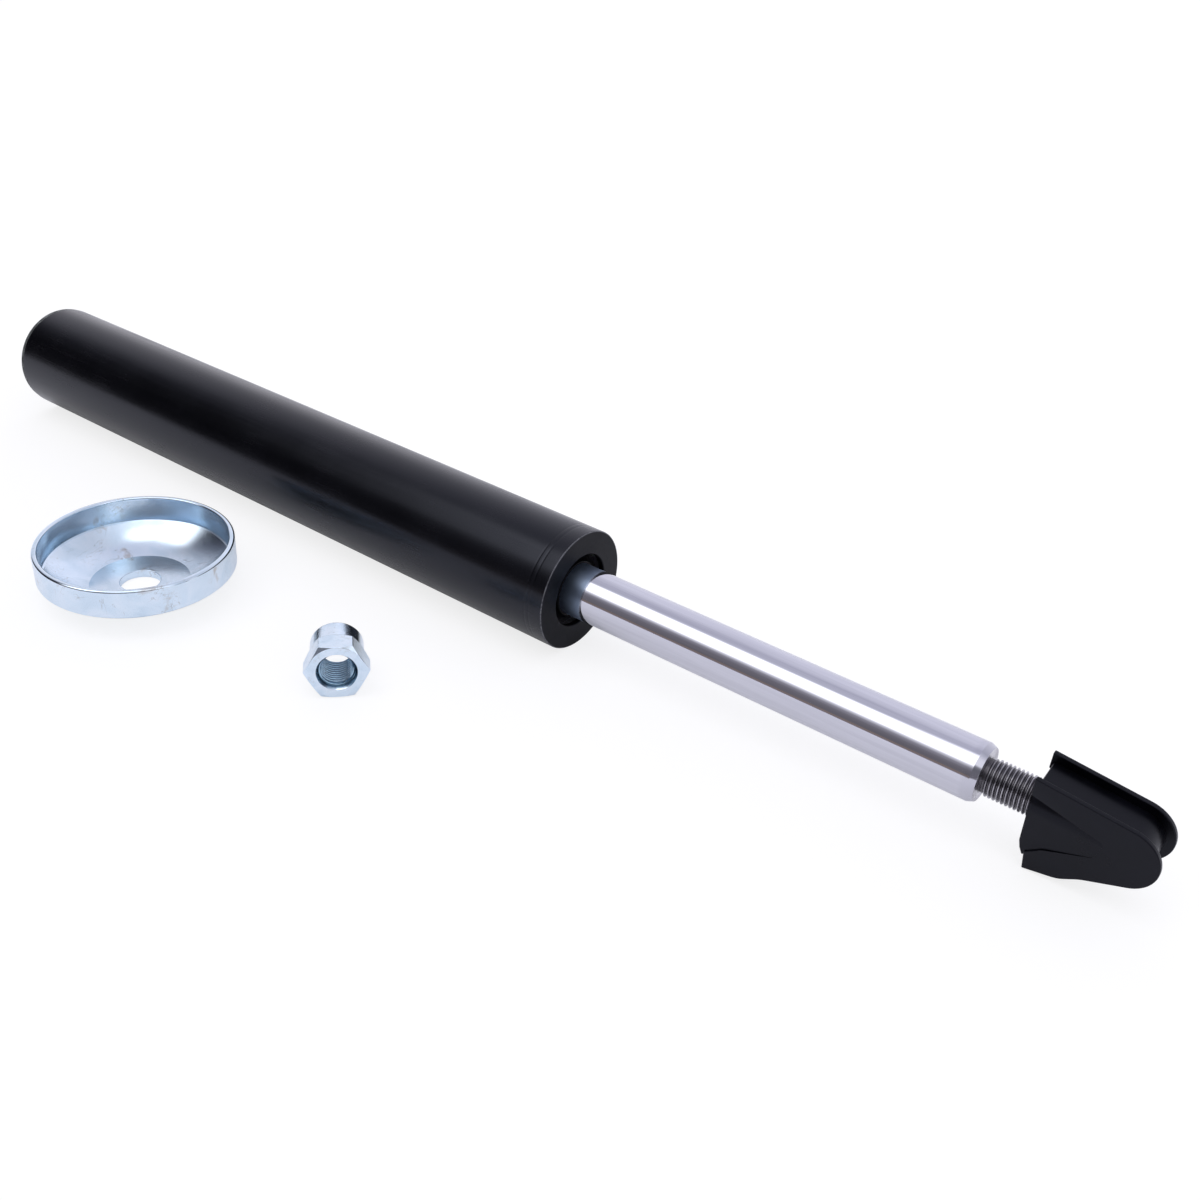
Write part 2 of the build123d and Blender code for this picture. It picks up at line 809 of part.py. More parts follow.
# The socket's housing, between the legs: a cone round the stud with a wall down each side
# to the lower leg. It is as wide as the cheeks at the notch's inner end and narrows to its
# own end.
with BuildPart() as housing:
    with BuildSketch(saddle_side):
        with BuildLine():
            Polyline(
                (-socket_depth, 0),
                *housing_end,
                (notch_lower_bend[0], notch_lower_bend[1] - housing_wall),
                (notch_lower_apex[0], notch_lower_apex[1] - housing_wall),
                (flush, 0),
                close=True,
            )
        make_face()
    extrude(amount=half_width, both=True)
    with BuildSketch(saddle_top):
        with BuildLine():
            Polyline(
                (-socket_depth, -housing_end_radius),
                (flush, -half_width),
                (flush, half_width),
                (-socket_depth, housing_end_radius),
                close=True,
            )
        make_face()
    extrude(amount=saddle_width * 2, both=True, mode=Mode.INTERSECT)
    with BuildSketch(profile_plane):
        with BuildLine():
            Polyline(
                (socket_bottom - socket_depth, 0),
                (socket_bottom - socket_depth, housing_end_radius),
                (socket_bottom + flush, half_width),
                (socket_bottom + flush, 0),
                close=True,
            )
        make_face()
    revolve(axis=Axis.X)
    # the space under the stud is left open
    with BuildSketch(saddle_side):
        with Locations((-socket_block, -housing_end_radius - housing_wall)):
            Rectangle(4 * socket_block, 4 * socket_block, align=(Align.MAX, Align.MAX))
    extrude(amount=housing_end_radius - housing_wall, both=True, mode=Mode.SUBTRACT)

with BuildPart() as strap_saddle:
    # two cheeks with a notch between the legs
    with BuildSketch(saddle_side) as cheek:
        with BuildLine():
            outline_lines(cheek_outline)
            Polyline(
                cheek_outline["lower_end"],
                notch_lower_end,
                notch_lower_bend,
                notch_lower_apex,
                notch_upper_apex,
                notch_upper_end,
                cheek_outline["upper_end"],
            )
        make_face()
        fillet(cheek.vertices().sort_by_distance((*notch_upper_apex, 0))[0], notch_radius)
        fillet(cheek.vertices().sort_by_distance((*notch_lower_apex, 0))[0], notch_radius)
        fillet(cheek.vertices().sort_by_distance((*notch_lower_bend, 0))[0], bend_radius)
        fillet(cheek.vertices().sort_by_distance((*lower_leg_bend, 0))[0], bend_radius)
        fillet(cheek.vertices().sort_by_distance((*lower_leg_waist, 0))[0], waist_radius)
    extrude(amount=saddle_width / 2, both=True)
    # the strap's channel: all between the cheeks is cleared and the webs put back
    with BuildSketch(saddle_side):
        Rectangle(6 * nose_radius, 6 * nose_radius)
    extrude(amount=inner_width / 2, both=True, mode=Mode.SUBTRACT)
    with BuildSketch(saddle_side):
        with BuildLine():
            outline_lines(floor_outline)
            Line(floor_outline["lower_end"], floor_outline["upper_end"])
        make_face()
    extrude(amount=inner_width / 2, both=True)
    # the hollow between the webs, as far as the block with the stud's socket
    with BuildSketch(saddle_side):
        with BuildLine():
            outline_lines(pocket_outline)
            Polyline(
                pocket_outline["lower_end"],
                (2 * lower_leg_end[0], pocket_outline["lower_end"][1]),
                (2 * lower_leg_end[0], pocket_outline["upper_end"][1]),
                pocket_outline["upper_end"],
            )
        make_face()
        with Locations((-socket_block, 0)):
            Rectangle(8 * nose_radius, 8 * nose_radius, align=(Align.MIN, Align.CENTER), mode=Mode.SUBTRACT)
    extrude(amount=inner_width / 2, both=True, mode=Mode.SUBTRACT)
    # the lower leg's end
    with BuildSketch(saddle_side):
        with BuildLine():
            Polyline(
                *lower_leg_cut,
                (2 * lower_leg_end[0], lower_leg_cut[1][1]),
                (2 * lower_leg_end[0], lower_leg_cut[0][1]),
                close=True,
            )
        make_face()
    extrude(amount=saddle_width, both=True, mode=Mode.SUBTRACT)
    # the socket's housing
    add(housing.part)
    # the socket, with a conical lead-in
    with BuildSketch(profile_plane):
        with BuildLine():
            Polyline(
                (socket_bottom, 0),
                (socket_bottom, stud_radius + running_gap),
                (socket_bottom - socket_depth + socket_lead_in, stud_radius + running_gap),
                (socket_bottom - socket_depth, stud_radius + running_gap + socket_lead_in),
                (socket_bottom - socket_depth, 0),
                close=True,
            )
        make_face()
    revolve(axis=Axis.X, mode=Mode.SUBTRACT)
finish(strap_saddle, "strap_saddle")

# The dished washer, a pressed cup that stands on its flat centre.
washer_origin = (washer_centre[0], washer_centre[1], floor_z)
washer_plane = Plane(origin=washer_origin, x_dir=(1, 0, 0), z_dir=(0, -1, 0))
wall_inner = washer_radius - washer_wall
underside_flat = washer_flat_radius + washer_centre_thickness / 3
with BuildPart() as dished_washer:
    with BuildSketch(washer_plane):
        with BuildLine():
            Polyline(
                (underside_flat, 0),
                (washer_hole_radius, 0),
                (washer_hole_radius, washer_centre_thickness),
                (washer_flat_radius, washer_centre_thickness),
            )
            ThreePointArc(
                (washer_flat_radius, washer_centre_thickness),
                (
                    (washer_flat_radius + wall_inner) / 2 + 1.4,
                    (washer_centre_thickness + washer_shelf_height) / 2 - 1.2,
                ),
                (wall_inner - 0.7, washer_shelf_height),
            )
            Polyline(
                (wall_inner - 0.7, washer_shelf_height),
                (wall_inner, washer_shelf_height),
                (wall_inner, washer_height - washer_bevel),
                (wall_inner + washer_bevel, washer_height),
                (washer_radius - washer_bevel, washer_height),
                (washer_radius, washer_height - washer_bevel),
                (washer_radius, washer_crease_height),
                (washer_radius - 0.8, washer_crease_height - 0.7),
            )
            ThreePointArc(
                (washer_radius - 0.8, washer_crease_height - 0.7),
                (
                    (underside_flat + washer_radius) / 2 + 1.8,
                    (washer_crease_height - 0.7) / 2 - 1.5,
                ),
                (underside_flat, 0),
            )
        make_face()
    revolve(axis=Axis(washer_origin, (0, 0, 1)))
finish(dished_washer, "dished_washer")

# The collar nut. It leans back, because it lies on the rear edge of a flat and on the edge of
# its thinner collar. Its thread is a plain hole at the minor diameter, with a countersink at
# each end.
heading = radians(nut_heading)
nut_corner_radius = nut_width / 2 / cos(radians(30))
nut_taper_share = (nut_width / 2 - nut_collar_radius) / (nut_corner_radius - nut_collar_radius)
nut_flat_end = nut_hex_length - nut_rear_taper * nut_taper_share
nut_lean = atan((nut_width / 2 - nut_collar_radius) / (nut_length - nut_collar_chamfer - nut_flat_end))
nut_height = floor_z + nut_width / 2 * cos(nut_lean) + nut_flat_end * sin(nut_lean)
nut_origin = (nut_place[0], nut_place[1], nut_height)
nut_axis = (cos(heading) * cos(nut_lean), sin(heading) * cos(nut_lean), -sin(nut_lean))
nut_side = (sin(heading), -cos(heading), 0)
nut_front = Plane(origin=nut_origin, x_dir=nut_side, z_dir=nut_axis)
nut_profile = Plane(origin=nut_origin, x_dir=nut_axis, z_dir=nut_side)
nut_chamfer_depth = (nut_corner_radius - nut_face_radius) * tan(radians(nut_chamfer_angle))
nut_bore_radius = nut_thread_minor / 2
nut_sink_depth = (nut_mouth_radius - nut_bore_radius) / tan(radians(nut_mouth_angle))
with BuildPart() as collar_nut:
    with BuildSketch(nut_front):
        RegularPolygon(nut_width / 2, 6, major_radius=False)
    extrude(amount=nut_hex_length)
    # a turned blank trims the hexagon's corners at the front face
    with BuildSketch(nut_profile):
        with BuildLine():
            Polyline(
                (0, 0),
                (0, nut_face_radius),
                (nut_chamfer_depth, nut_corner_radius),
                (nut_hex_length - nut_rear_taper, nut_corner_radius),
                (nut_hex_length, nut_collar_radius),
                (nut_hex_length, 0),
                close=True,
            )
        make_face()
    revolve(axis=Axis(nut_origin, nut_axis), mode=Mode.INTERSECT)
    with BuildSketch(nut_profile):
        with BuildLine():
            Polyline(
                (nut_hex_length, 0),
                (nut_hex_length, nut_collar_radius),
                (nut_length - nut_collar_chamfer, nut_collar_radius),
                (nut_length, nut_collar_radius - nut_collar_chamfer),
                (nut_length, 0),
                close=True,
            )
        make_face()
    revolve(axis=Axis(nut_origin, nut_axis))
    with BuildSketch(nut_profile):
        with BuildLine():
            Polyline(
                (0, 0),
                (0, nut_mouth_radius),
                (nut_sink_depth, nut_bore_radius),
                (nut_length - nut_sink_depth, nut_bore_radius),
                (nut_length, nut_mouth_radius),
                (nut_length, 0),
                close=True,
            )
        make_face()
    revolve(axis=Axis(nut_origin, nut_axis), mode=Mode.SUBTRACT)
finish(collar_nut, "collar_nut")
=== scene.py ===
import json
from math import atan, cos, pi, radians, sin, tan

import bmesh
import bpy
import numpy as np
from mathutils import Matrix


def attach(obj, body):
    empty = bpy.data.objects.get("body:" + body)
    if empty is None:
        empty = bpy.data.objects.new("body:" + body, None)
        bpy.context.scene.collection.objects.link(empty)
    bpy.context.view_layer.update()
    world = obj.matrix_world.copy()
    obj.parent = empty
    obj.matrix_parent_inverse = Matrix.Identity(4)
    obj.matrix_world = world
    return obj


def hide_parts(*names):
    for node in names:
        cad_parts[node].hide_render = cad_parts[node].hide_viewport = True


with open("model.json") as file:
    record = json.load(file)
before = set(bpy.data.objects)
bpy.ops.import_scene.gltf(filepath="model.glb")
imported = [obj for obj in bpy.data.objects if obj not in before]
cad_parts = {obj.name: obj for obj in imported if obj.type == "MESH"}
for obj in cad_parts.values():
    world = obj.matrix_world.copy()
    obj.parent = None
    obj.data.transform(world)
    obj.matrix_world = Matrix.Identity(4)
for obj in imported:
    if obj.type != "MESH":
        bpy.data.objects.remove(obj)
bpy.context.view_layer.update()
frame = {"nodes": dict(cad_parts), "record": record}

nodes = frame["nodes"]
millimetre = 0.001

# Sizes are in millimetres, and places run along the rod from the base face. They are the solids'
# sizes, apart from thread_tail, nut_face_radius, the dish's two bows and the forms that only this
# script has: rolled lines, threads and rounded edges.

# Outer tube
tube_start = 2.2
body_length = 347.6
tube_radius = 25.5
tube_bore_radius = 23.3
mouth_radius = 15.7
lip_inner = 345.0
mouth_rounding = 0.45  # edge between the tube's skin and its turned-in end
roll_marks = (6.4, 8.6)  # setbacks of the faint rolled lines from the mouth face
roll_mark_width = 1.4
roll_mark_depth = 0.045
roll_mark_points = 13

# Base cap
cap_rim = 2.0
cap_radius = 25.2
cap_spigot_radius = 23.25
cap_depth = 12.0
cap_floor = 5.0
cap_wall = 3.0
dimple_radius = 7.0
dimple_depth = 1.2

# Oil seal
guide_top = 334.5
seal_top = 342.5
seal_outer_radius = 23.25
seal_bore_radius = 11.04
seal_foot_radius = 17.25
lip_relief = 1.4  # how far the seal stands off the rod between its lips
spring_seat_depth = 2.05
wiper_height = 3.0
wiper_width = 3.2

# Piston rod and stud
tenon_end = 257.2
tenon_start = 289.2
tenon_radius = 6.0
tenon_chamfer = 1.0
stop_groove_start = 299.2
stop_groove_end = 302.2
stop_groove_radius = 10.2
rod_radius = 11.0
rod_shoulder = 522.0
rod_chamfer_length = 2.4
rod_chamfer_depth = 1.0
stud_neck_radius = 6.1
stud_neck_length = 2.2
stud_radius = 7.0
stud_end = 560.0
stud_end_flat = 4.5  # radius of the plain flat on the stud's end
stud_chamfer = 1.2
thread_pitch = 1.5
thread_depth = 0.92
thread_tail = 1.7  # how far the thread's last turn fades out over the neck
thread_run_in = 1.5  # turns over which the thread reaches its depth
dull_length = 5.0  # the rod's last few millimetres are ground, not plated bright
reflection_band_length = 8.2  # length of rod next to the seal that has a painted blue-black reflection of the tube's dark mouth

# Dished washer
washer_centre = (183.7, -92.2)
washer_radius = 40.4
washer_height = 22.8
washer_wall = 2.3
washer_crease_height = 10.8
washer_crease_drop = 0.7  # height that the crease's own rounding takes
washer_shelf_height = 11.5
washer_centre_thickness = 3.4
washer_flat_radius = 20.6
washer_hole_radius = 8.3
dish_bow = (0.9, -0.75)  # how far the dish's middle stands off a straight line, inside
underside_bow = (0.2, -0.1)  # and underneath
rubbed_rim = 1.3  # height of rim that is rubbed bright

# Collar nut
nut_place = (302.4, -91.2)
nut_heading = 136.6
nut_width = 22.0
nut_length = 20.6
nut_hex_length = 10.6
nut_rear_taper = 2.6
nut_collar_radius = 10.4
nut_collar_chamfer = 0.5
nut_face_radius = 10.9
nut_chamfer_angle = 30.0
nut_bore_radius = 6.2
nut_mouth_radius = 7.9
nut_mouth_angle = 30.0
nut_corner_rounding = 0.5
nut_edge_break = 0.18
nut_shortest_flat = 3.0
bore_mark_edge = 0.1
bore_mark_width = 0.8

# Strap saddle
saddle_rounding = 0.45
same_point = 0.002  # points closer than this are one
same_face_angle = 1.0  # faces that turn by less than this are one
rounded_angle = 50.0  # an outer edge that turns by more than this is rounded
shaded_angle = 28.0  # an edge that turns by less than this is shaded across
socket_end = 569.0  # between the legs up to here, the socket's edges stay as moulded
socket_low, socket_high = -15.5, 7.5

floor_height = -25.5

# How finely the surfaces are divided
plain_columns = 192
tube_columns = 256
cup_columns = 256
rod_columns = 144
stud_rows = 384
bore_rows = 241
bore_end_rows = 4  # rows at each end of the nut's bore that its mouths' rounded edges stand for
flat_points = 17


# Surfaces


def rounded(corners, radii, steps=6, shoulder=0.15):
    """Rounds the corners of a profile, given as (corner, 2) or (corner, column, 2).

    Where two sides meet at an angle w, an arc of radius r touches them at r / tan(w / 2) from
    the corner, with its centre at r / sin(w / 2) along the line that halves w. A point on each
    side just past the arc keeps the flats flat. A corner with no radius stays one point.
    """
    arc_share, shoulder_share = 0.45, 0.04  # the most that an arc or a shoulder takes of a side
    corner = np.asarray(corners, float)
    corner = corner[:, None] if corner.ndim == 2 else corner
    radius = np.asarray(radii, float)[:, None, None]
    before = np.roll(corner, 1, 0) - corner
    after = np.roll(corner, -1, 0) - corner
    length_before = np.linalg.norm(before, axis=-1, keepdims=True)
    length_after = np.linalg.norm(after, axis=-1, keepdims=True)
    before = before / np.maximum(length_before, 1e-9)
    after = after / np.maximum(length_after, 1e-9)
    half = np.arccos(np.clip((before * after).sum(-1, keepdims=True), -0.99999, 0.99999)) / 2
    shorter = np.minimum(length_before, length_after)
    reach = np.minimum(radius / np.tan(half), arc_share * shorter)
    bisector = before + after
    bisector = bisector / np.maximum(np.linalg.norm(bisector, axis=-1, keepdims=True), 1e-9)
    centre = corner + bisector * reach * np.tan(half) / np.sin(half)
    start = corner + before * reach
    end = corner + after * reach
    turn = np.maximum(pi - 2 * half, 1e-4)
    share = np.linspace(0, 1, steps + 1)[:, None, None, None]
    arc = (
        centre
        + (start - centre) * np.sin((1 - share) * turn) / np.sin(turn)
        + (end - centre) * np.sin(share * turn) / np.sin(turn)
    )
    first = start + before * np.minimum(shoulder, shoulder_share * length_before)
    last = end + after * np.minimum(shoulder, shoulder_share * length_after)
    rows = np.concatenate([first[None], arc, last[None]]).transpose(1, 0, 2, 3)
    keep = np.ones(rows.shape[:2], bool)
    keep[radius[:, 0, 0] == 0] = False
    keep[radius[:, 0, 0] == 0, 1] = True
    return rows[keep]


def rounded_rows(rows):
    """A rounded profile from rows of (place, radius, rounding)."""
    rows = np.array(rows, float)
    return rounded(rows[:, :2], rows[:, 2])


def arc_through(start, middle, end):
    """Points of the circle through three points. Its centre is equally far from all three."""
    steps = 16
    a, b, c = (np.array(p, float) for p in (start, middle, end))
    rows = np.array([b - a, c - a])
    centre = np.linalg.solve(2 * rows, (b @ b - a @ a, c @ c - a @ a))
    angles = np.unwrap([np.arctan2(*(p - centre)[::-1]) for p in (a, b, c)])
    sweep = np.linspace(angles[0], angles[2], steps + 1)
    return centre + np.linalg.norm(a - centre) * np.stack([np.cos(sweep), np.sin(sweep)], -1)


def skin(name, grid, loop, flip):
    """A mesh over a grid of points, whose rows follow the profile and columns go round.

    Point (i, j) is joined to (i, j + 1), (i + 1, j + 1) and (i + 1, j). The last column joins
    the first, and with loop so does the last row. A row that shrinks to a point is a pole.
    The second result is the profile row that each face starts from.
    """
    rows, columns = grid.shape[:2]
    index = np.arange(rows * columns).reshape(rows, columns)
    pole = np.ptp(grid, axis=1).max(axis=1) < 1e-9
    index[pole] = index[pole, :1]
    upper, lower = (index, np.roll(index, -1, 0)) if loop else (index[:-1], index[1:])
    quads = np.stack([upper, np.roll(upper, -1, 1), np.roll(lower, -1, 1), lower], -1)
    row_of_face = np.repeat(np.arange(quads.shape[0]), columns)
    quads = quads.reshape(-1, 4)
    quads = quads[:, ::-1] if flip else quads
    keep = quads != np.roll(quads, 1, axis=1)
    sizes = keep.sum(1)
    whole = sizes > 2
    quads, keep, sizes, row_of_face = quads[whole], keep[whole], sizes[whole], row_of_face[whole]
    used, loops = np.unique(quads[keep], return_inverse=True)
    mesh = bpy.data.meshes.new(name)
    mesh.vertices.add(len(used))
    mesh.vertices.foreach_set("co", grid.reshape(-1, 3)[used].astype(np.float32).ravel())
    mesh.loops.add(len(loops))
    mesh.loops.foreach_set("vertex_index", loops.astype(np.int32).ravel())
    mesh.polygons.add(len(sizes))
    mesh.polygons.foreach_set("loop_start", (np.cumsum(sizes) - sizes).astype(np.int32))
    mesh.polygons.foreach_set("use_smooth", np.ones(len(sizes), bool))
    mesh.update(calc_edges=True)
    mesh.validate()
    piece = bpy.data.objects.new(name, mesh)
    bpy.context.scene.collection.objects.link(piece)
    return piece, row_of_face


def lathe(
    name,
    profile,
    loop=True,
    turns=None,
    columns=plain_columns,
    origin=(0, 0, 0),
    axis=(1, 0, 0),
    side=(0, 1, 0),
):
    """Turns a profile of (place, radius) round an axis.

    At angle t a point is origin + place * axis + radius * (cos t * side + sin t * up), where
    up is the axis crossed with side. The profile may differ from column to column.
    """
    turns = np.linspace(0, 2 * pi, columns, endpoint=False) if turns is None else turns
    axis, side = np.array(axis, float), np.array(side, float)
    up = np.cross(axis, side)
    profile = np.broadcast_to(profile, (len(profile), len(turns), 2))
    outward = np.cos(turns)[:, None] * side + np.sin(turns)[:, None] * up
    grid = np.array(origin, float) + profile[..., :1] * axis + profile[..., 1:] * outward
    place, radius = profile[:, 0, 0], profile[:, 0, 1]
    area = np.sum(place * np.roll(radius, -1) - np.roll(place, -1) * radius)
    return skin(name, grid * millimetre, loop, flip=area > 0)


def thread_form(place, turn):
    """How far below the crest a right-hand thread lies, from 0 at the crest to 1 at the root.

    With u = place / pitch - turn / one turn, the distance from the nearest crest's middle is
    w = |u - the nearest whole number| pitches. The form is (w - 1/16) / (3/8 - 1/16), held
    between 0 and 1: a flat crest, a straight flank and a flat root.
    """
    crest_edge, root_edge = 1 / 16, 3 / 8
    u = place / thread_pitch - turn / (2 * pi)
    w = np.abs(u - np.round(u))
    return np.clip((w - crest_edge) / (root_edge - crest_edge), 0, 1)


def smooth(value):
    """A soft step from 0 to 1: 3 v^2 - 2 v^3 of the value held between 0 and 1."""
    v = np.clip(value, 0, 1)
    return v * v * (3 - 2 * v)


def number_faces(piece, numbers):
    """Says for each face which of the piece's materials it has."""
    piece.data.polygons.foreach_set("material_index", numbers.astype(np.int32))


# Pieces


def make_outer_tube():
    """The tube: a plain wall whose end is turned in, with two faint rolled lines near it.

    Each line lowers the skin by depth * (1 + cos(2 pi s / width)) / 2 at s from its middle.
    The turned-in end's faces, from the tube's rounded edge inwards, have the second finish.
    """
    across = np.linspace(-0.5, 0.5, roll_mark_points)
    marks = [body_length - setback - roll_mark_width * across for setback in roll_marks]
    marks = np.concatenate(marks)
    dips = np.tile(roll_mark_depth * (1 + np.cos(2 * pi * across)) / 2, len(roll_marks))
    rows = [
        (tube_start, tube_bore_radius, 0.2),
        (lip_inner, tube_bore_radius, 0.5),
        (lip_inner, mouth_radius, 0.35),
        (body_length, mouth_radius, 0.45),
        (body_length, tube_radius, mouth_rounding),
        *((mark, tube_radius - dip, 0) for mark, dip in zip(marks, dips)),
        (tube_start, tube_radius, 0.5),
    ]
    profile = rounded_rows(rows)
    tube, row_of_face = lathe("tube_shell", profile, columns=tube_columns)
    place, radius = ((profile + np.roll(profile, -1, 0)) / 2)[row_of_face, 0].T
    lip_start, lip_radius = lip_inner - 0.1, tube_radius - mouth_rounding
    number_faces(tube, (place > lip_start) & (radius < lip_radius))
    return tube


def make_base_cap():
    """The base cap, turned from pole to pole: dimple, face, rim, spigot and its hollow."""
    hollow_radius = cap_spigot_radius - cap_wall
    rows = [
        (dimple_depth, 0, 0),
        (dimple_depth * 0.93, dimple_radius * 0.3, 3.0),
        (0, dimple_radius, 1.5),
        (0, cap_radius, 0.5),
        (cap_rim, cap_radius, 0.3),
        (cap_rim, cap_spigot_radius, 0.2),
        (cap_depth, cap_spigot_radius, 0.4),
        (cap_depth, hollow_radius, 0.4),
        (cap_floor, hollow_radius, 0.8),
        (cap_floor, 0, 0),
    ]
    return lathe("base_disc", rounded_rows(rows), loop=False)[0]


def make_oil_seal():
    """The seal: a flat rubber ring with a wiper lip that leans on the rod, and its inner lips."""
    wiper_top = seal_top + wiper_height
    relief_radius = seal_bore_radius + lip_relief
    seat_radius = seal_bore_radius + spring_seat_depth
    rows = [
        (guide_top + 2, seal_foot_radius, 0.2),
        (guide_top + 2, seal_outer_radius, 0.3),
        (seal_top, seal_outer_radius, 0.3),
        (seal_top, seal_bore_radius + wiper_width, 0.8),
        (seal_top + wiper_height * 0.55, seal_bore_radius + wiper_width * 0.42, 0.8),
        (wiper_top, seal_bore_radius + wiper_width * 0.25, 0.25),
        (wiper_top, seal_bore_radius, 0.12),
        (seal_top + wiper_height / 2, seal_bore_radius, 0.2),
        (seal_top, relief_radius, 0.3),
        (guide_top + 4, relief_radius, 0.3),
        (guide_top + 2.7, seal_bore_radius, 0.1),
        (guide_top + 1.6, seal_bore_radius, 0.1),
        (guide_top, relief_radius, 0.3),
        (guide_top - 2, seal_bore_radius + 1.05, 0.3),
        (guide_top - 3.3, seal_bore_radius, 0.1),
        (guide_top - 4, seal_bore_radius, 0.1),
        (guide_top - 4, seat_radius, 0.3),
        (guide_top - 1.2, seat_radius, 0.3),
        (guide_top, seal_foot_radius, 0.3),
    ]
    return lathe("seal_lip", rounded_rows(rows))[0]


def make_piston_rod():
    """The rod: a turned shaft, then a stud whose radius is crest - depth * form over the thread.

    The thread runs in over its first turn and a half, and the end chamfer is a 45 degree cone
    that limits the radius. The faces past the shoulder have the second finish.
    """
    turns = np.linspace(0, 2 * pi, rod_columns, endpoint=False)
    start = rod_shoulder + stud_neck_length - thread_tail
    rows = [
        (tenon_end, 0, 0),
        (tenon_end, tenon_radius - tenon_chamfer, 0.2),
        (tenon_end + tenon_chamfer, tenon_radius, 0.2),
        (tenon_start, tenon_radius, 0.4),
        (tenon_start, rod_radius, 0.3),
        (stop_groove_start, rod_radius, 0.15),
        (stop_groove_start, stop_groove_radius, 0.15),
        (stop_groove_end, stop_groove_radius, 0.15),
        (stop_groove_end, rod_radius, 0.15),
        (rod_shoulder - dull_length, rod_radius, 0),
        (rod_shoulder - rod_chamfer_length, rod_radius, 0.35),
        (rod_shoulder, rod_radius - rod_chamfer_depth, 0.25),
        (rod_shoulder, stud_neck_radius, 0.15),
        (start, stud_neck_radius, 0),
    ]
    shaft = rounded_rows(rows)
    place = np.linspace(start, stud_end, stud_rows)[1:, None] + 0 * turns
    run_in = smooth((place - start) / (thread_run_in * thread_pitch))
    form = thread_form(place, turns)
    radius = stud_radius - thread_depth * (1 - run_in * (1 - form))
    radius = np.minimum(radius, stud_radius - (place - (stud_end - stud_chamfer)))
    thread = np.stack([place, radius], -1)
    end = np.array([[[stud_end, stud_end_flat]], [[stud_end, 0.0]]])
    plain = [np.broadcast_to(rings, (len(rings), len(turns), 2)) for rings in (shaft, end)]
    profile = np.concatenate([plain[0], thread, plain[1]])
    rod, row_of_face = lathe("rod_and_stud", profile, loop=False, turns=turns)
    shoulder_face = rod_shoulder - 0.05
    number_faces(rod, profile[:, 0, 0][row_of_face] >= shoulder_face)
    return rod


def make_dished_washer():
    """The pressed cup: an upright wall over a dish with a flat, holed centre.

    The dish is an arc on each side. Its middle point is the middle of a straight line from
    the flat to the wall, moved by the bow. Each row here gives the radius, then the height.
    """
    wall_inner = washer_radius - washer_wall
    underside = washer_flat_radius + washer_centre_thickness / 3
    crease_start = washer_crease_height - washer_crease_drop
    upper = arc_through(
        (washer_flat_radius, washer_centre_thickness),
        (
            (washer_flat_radius + wall_inner) / 2 + dish_bow[0],
            (washer_centre_thickness + washer_shelf_height) / 2 + dish_bow[1],
        ),
        (wall_inner - 0.7, washer_shelf_height),
    )
    lower = arc_through(
        (washer_radius - 0.8, crease_start),
        ((underside + washer_radius) / 2 + underside_bow[0], crease_start / 2 + underside_bow[1]),
        (underside, 0),
    )
    rows = [
        (washer_hole_radius, 0, 0.25),
        (washer_hole_radius, washer_centre_thickness, 0.3),
        (*upper[0], 0.12),
        *((*point, 0) for point in upper[1:-1]),
        (*upper[-1], 0.1),
        (wall_inner, washer_shelf_height + 0.35, 0.25),
        (wall_inner, washer_height, 0.7),
        (washer_radius, washer_height, 1.0),
        (washer_radius, washer_crease_height, 0.5),
        (*lower[0], 0.4),
        *((*point, 0) for point in lower[1:-1]),
        (*lower[-1], 1.2),
    ]
    return lathe(
        "dished_cup",
        rounded_rows(rows)[..., ::-1],
        columns=cup_columns,
        origin=(*washer_centre, floor_height),
        axis=(0, 0, 1),
        side=(1, 0, 0),
    )[0]


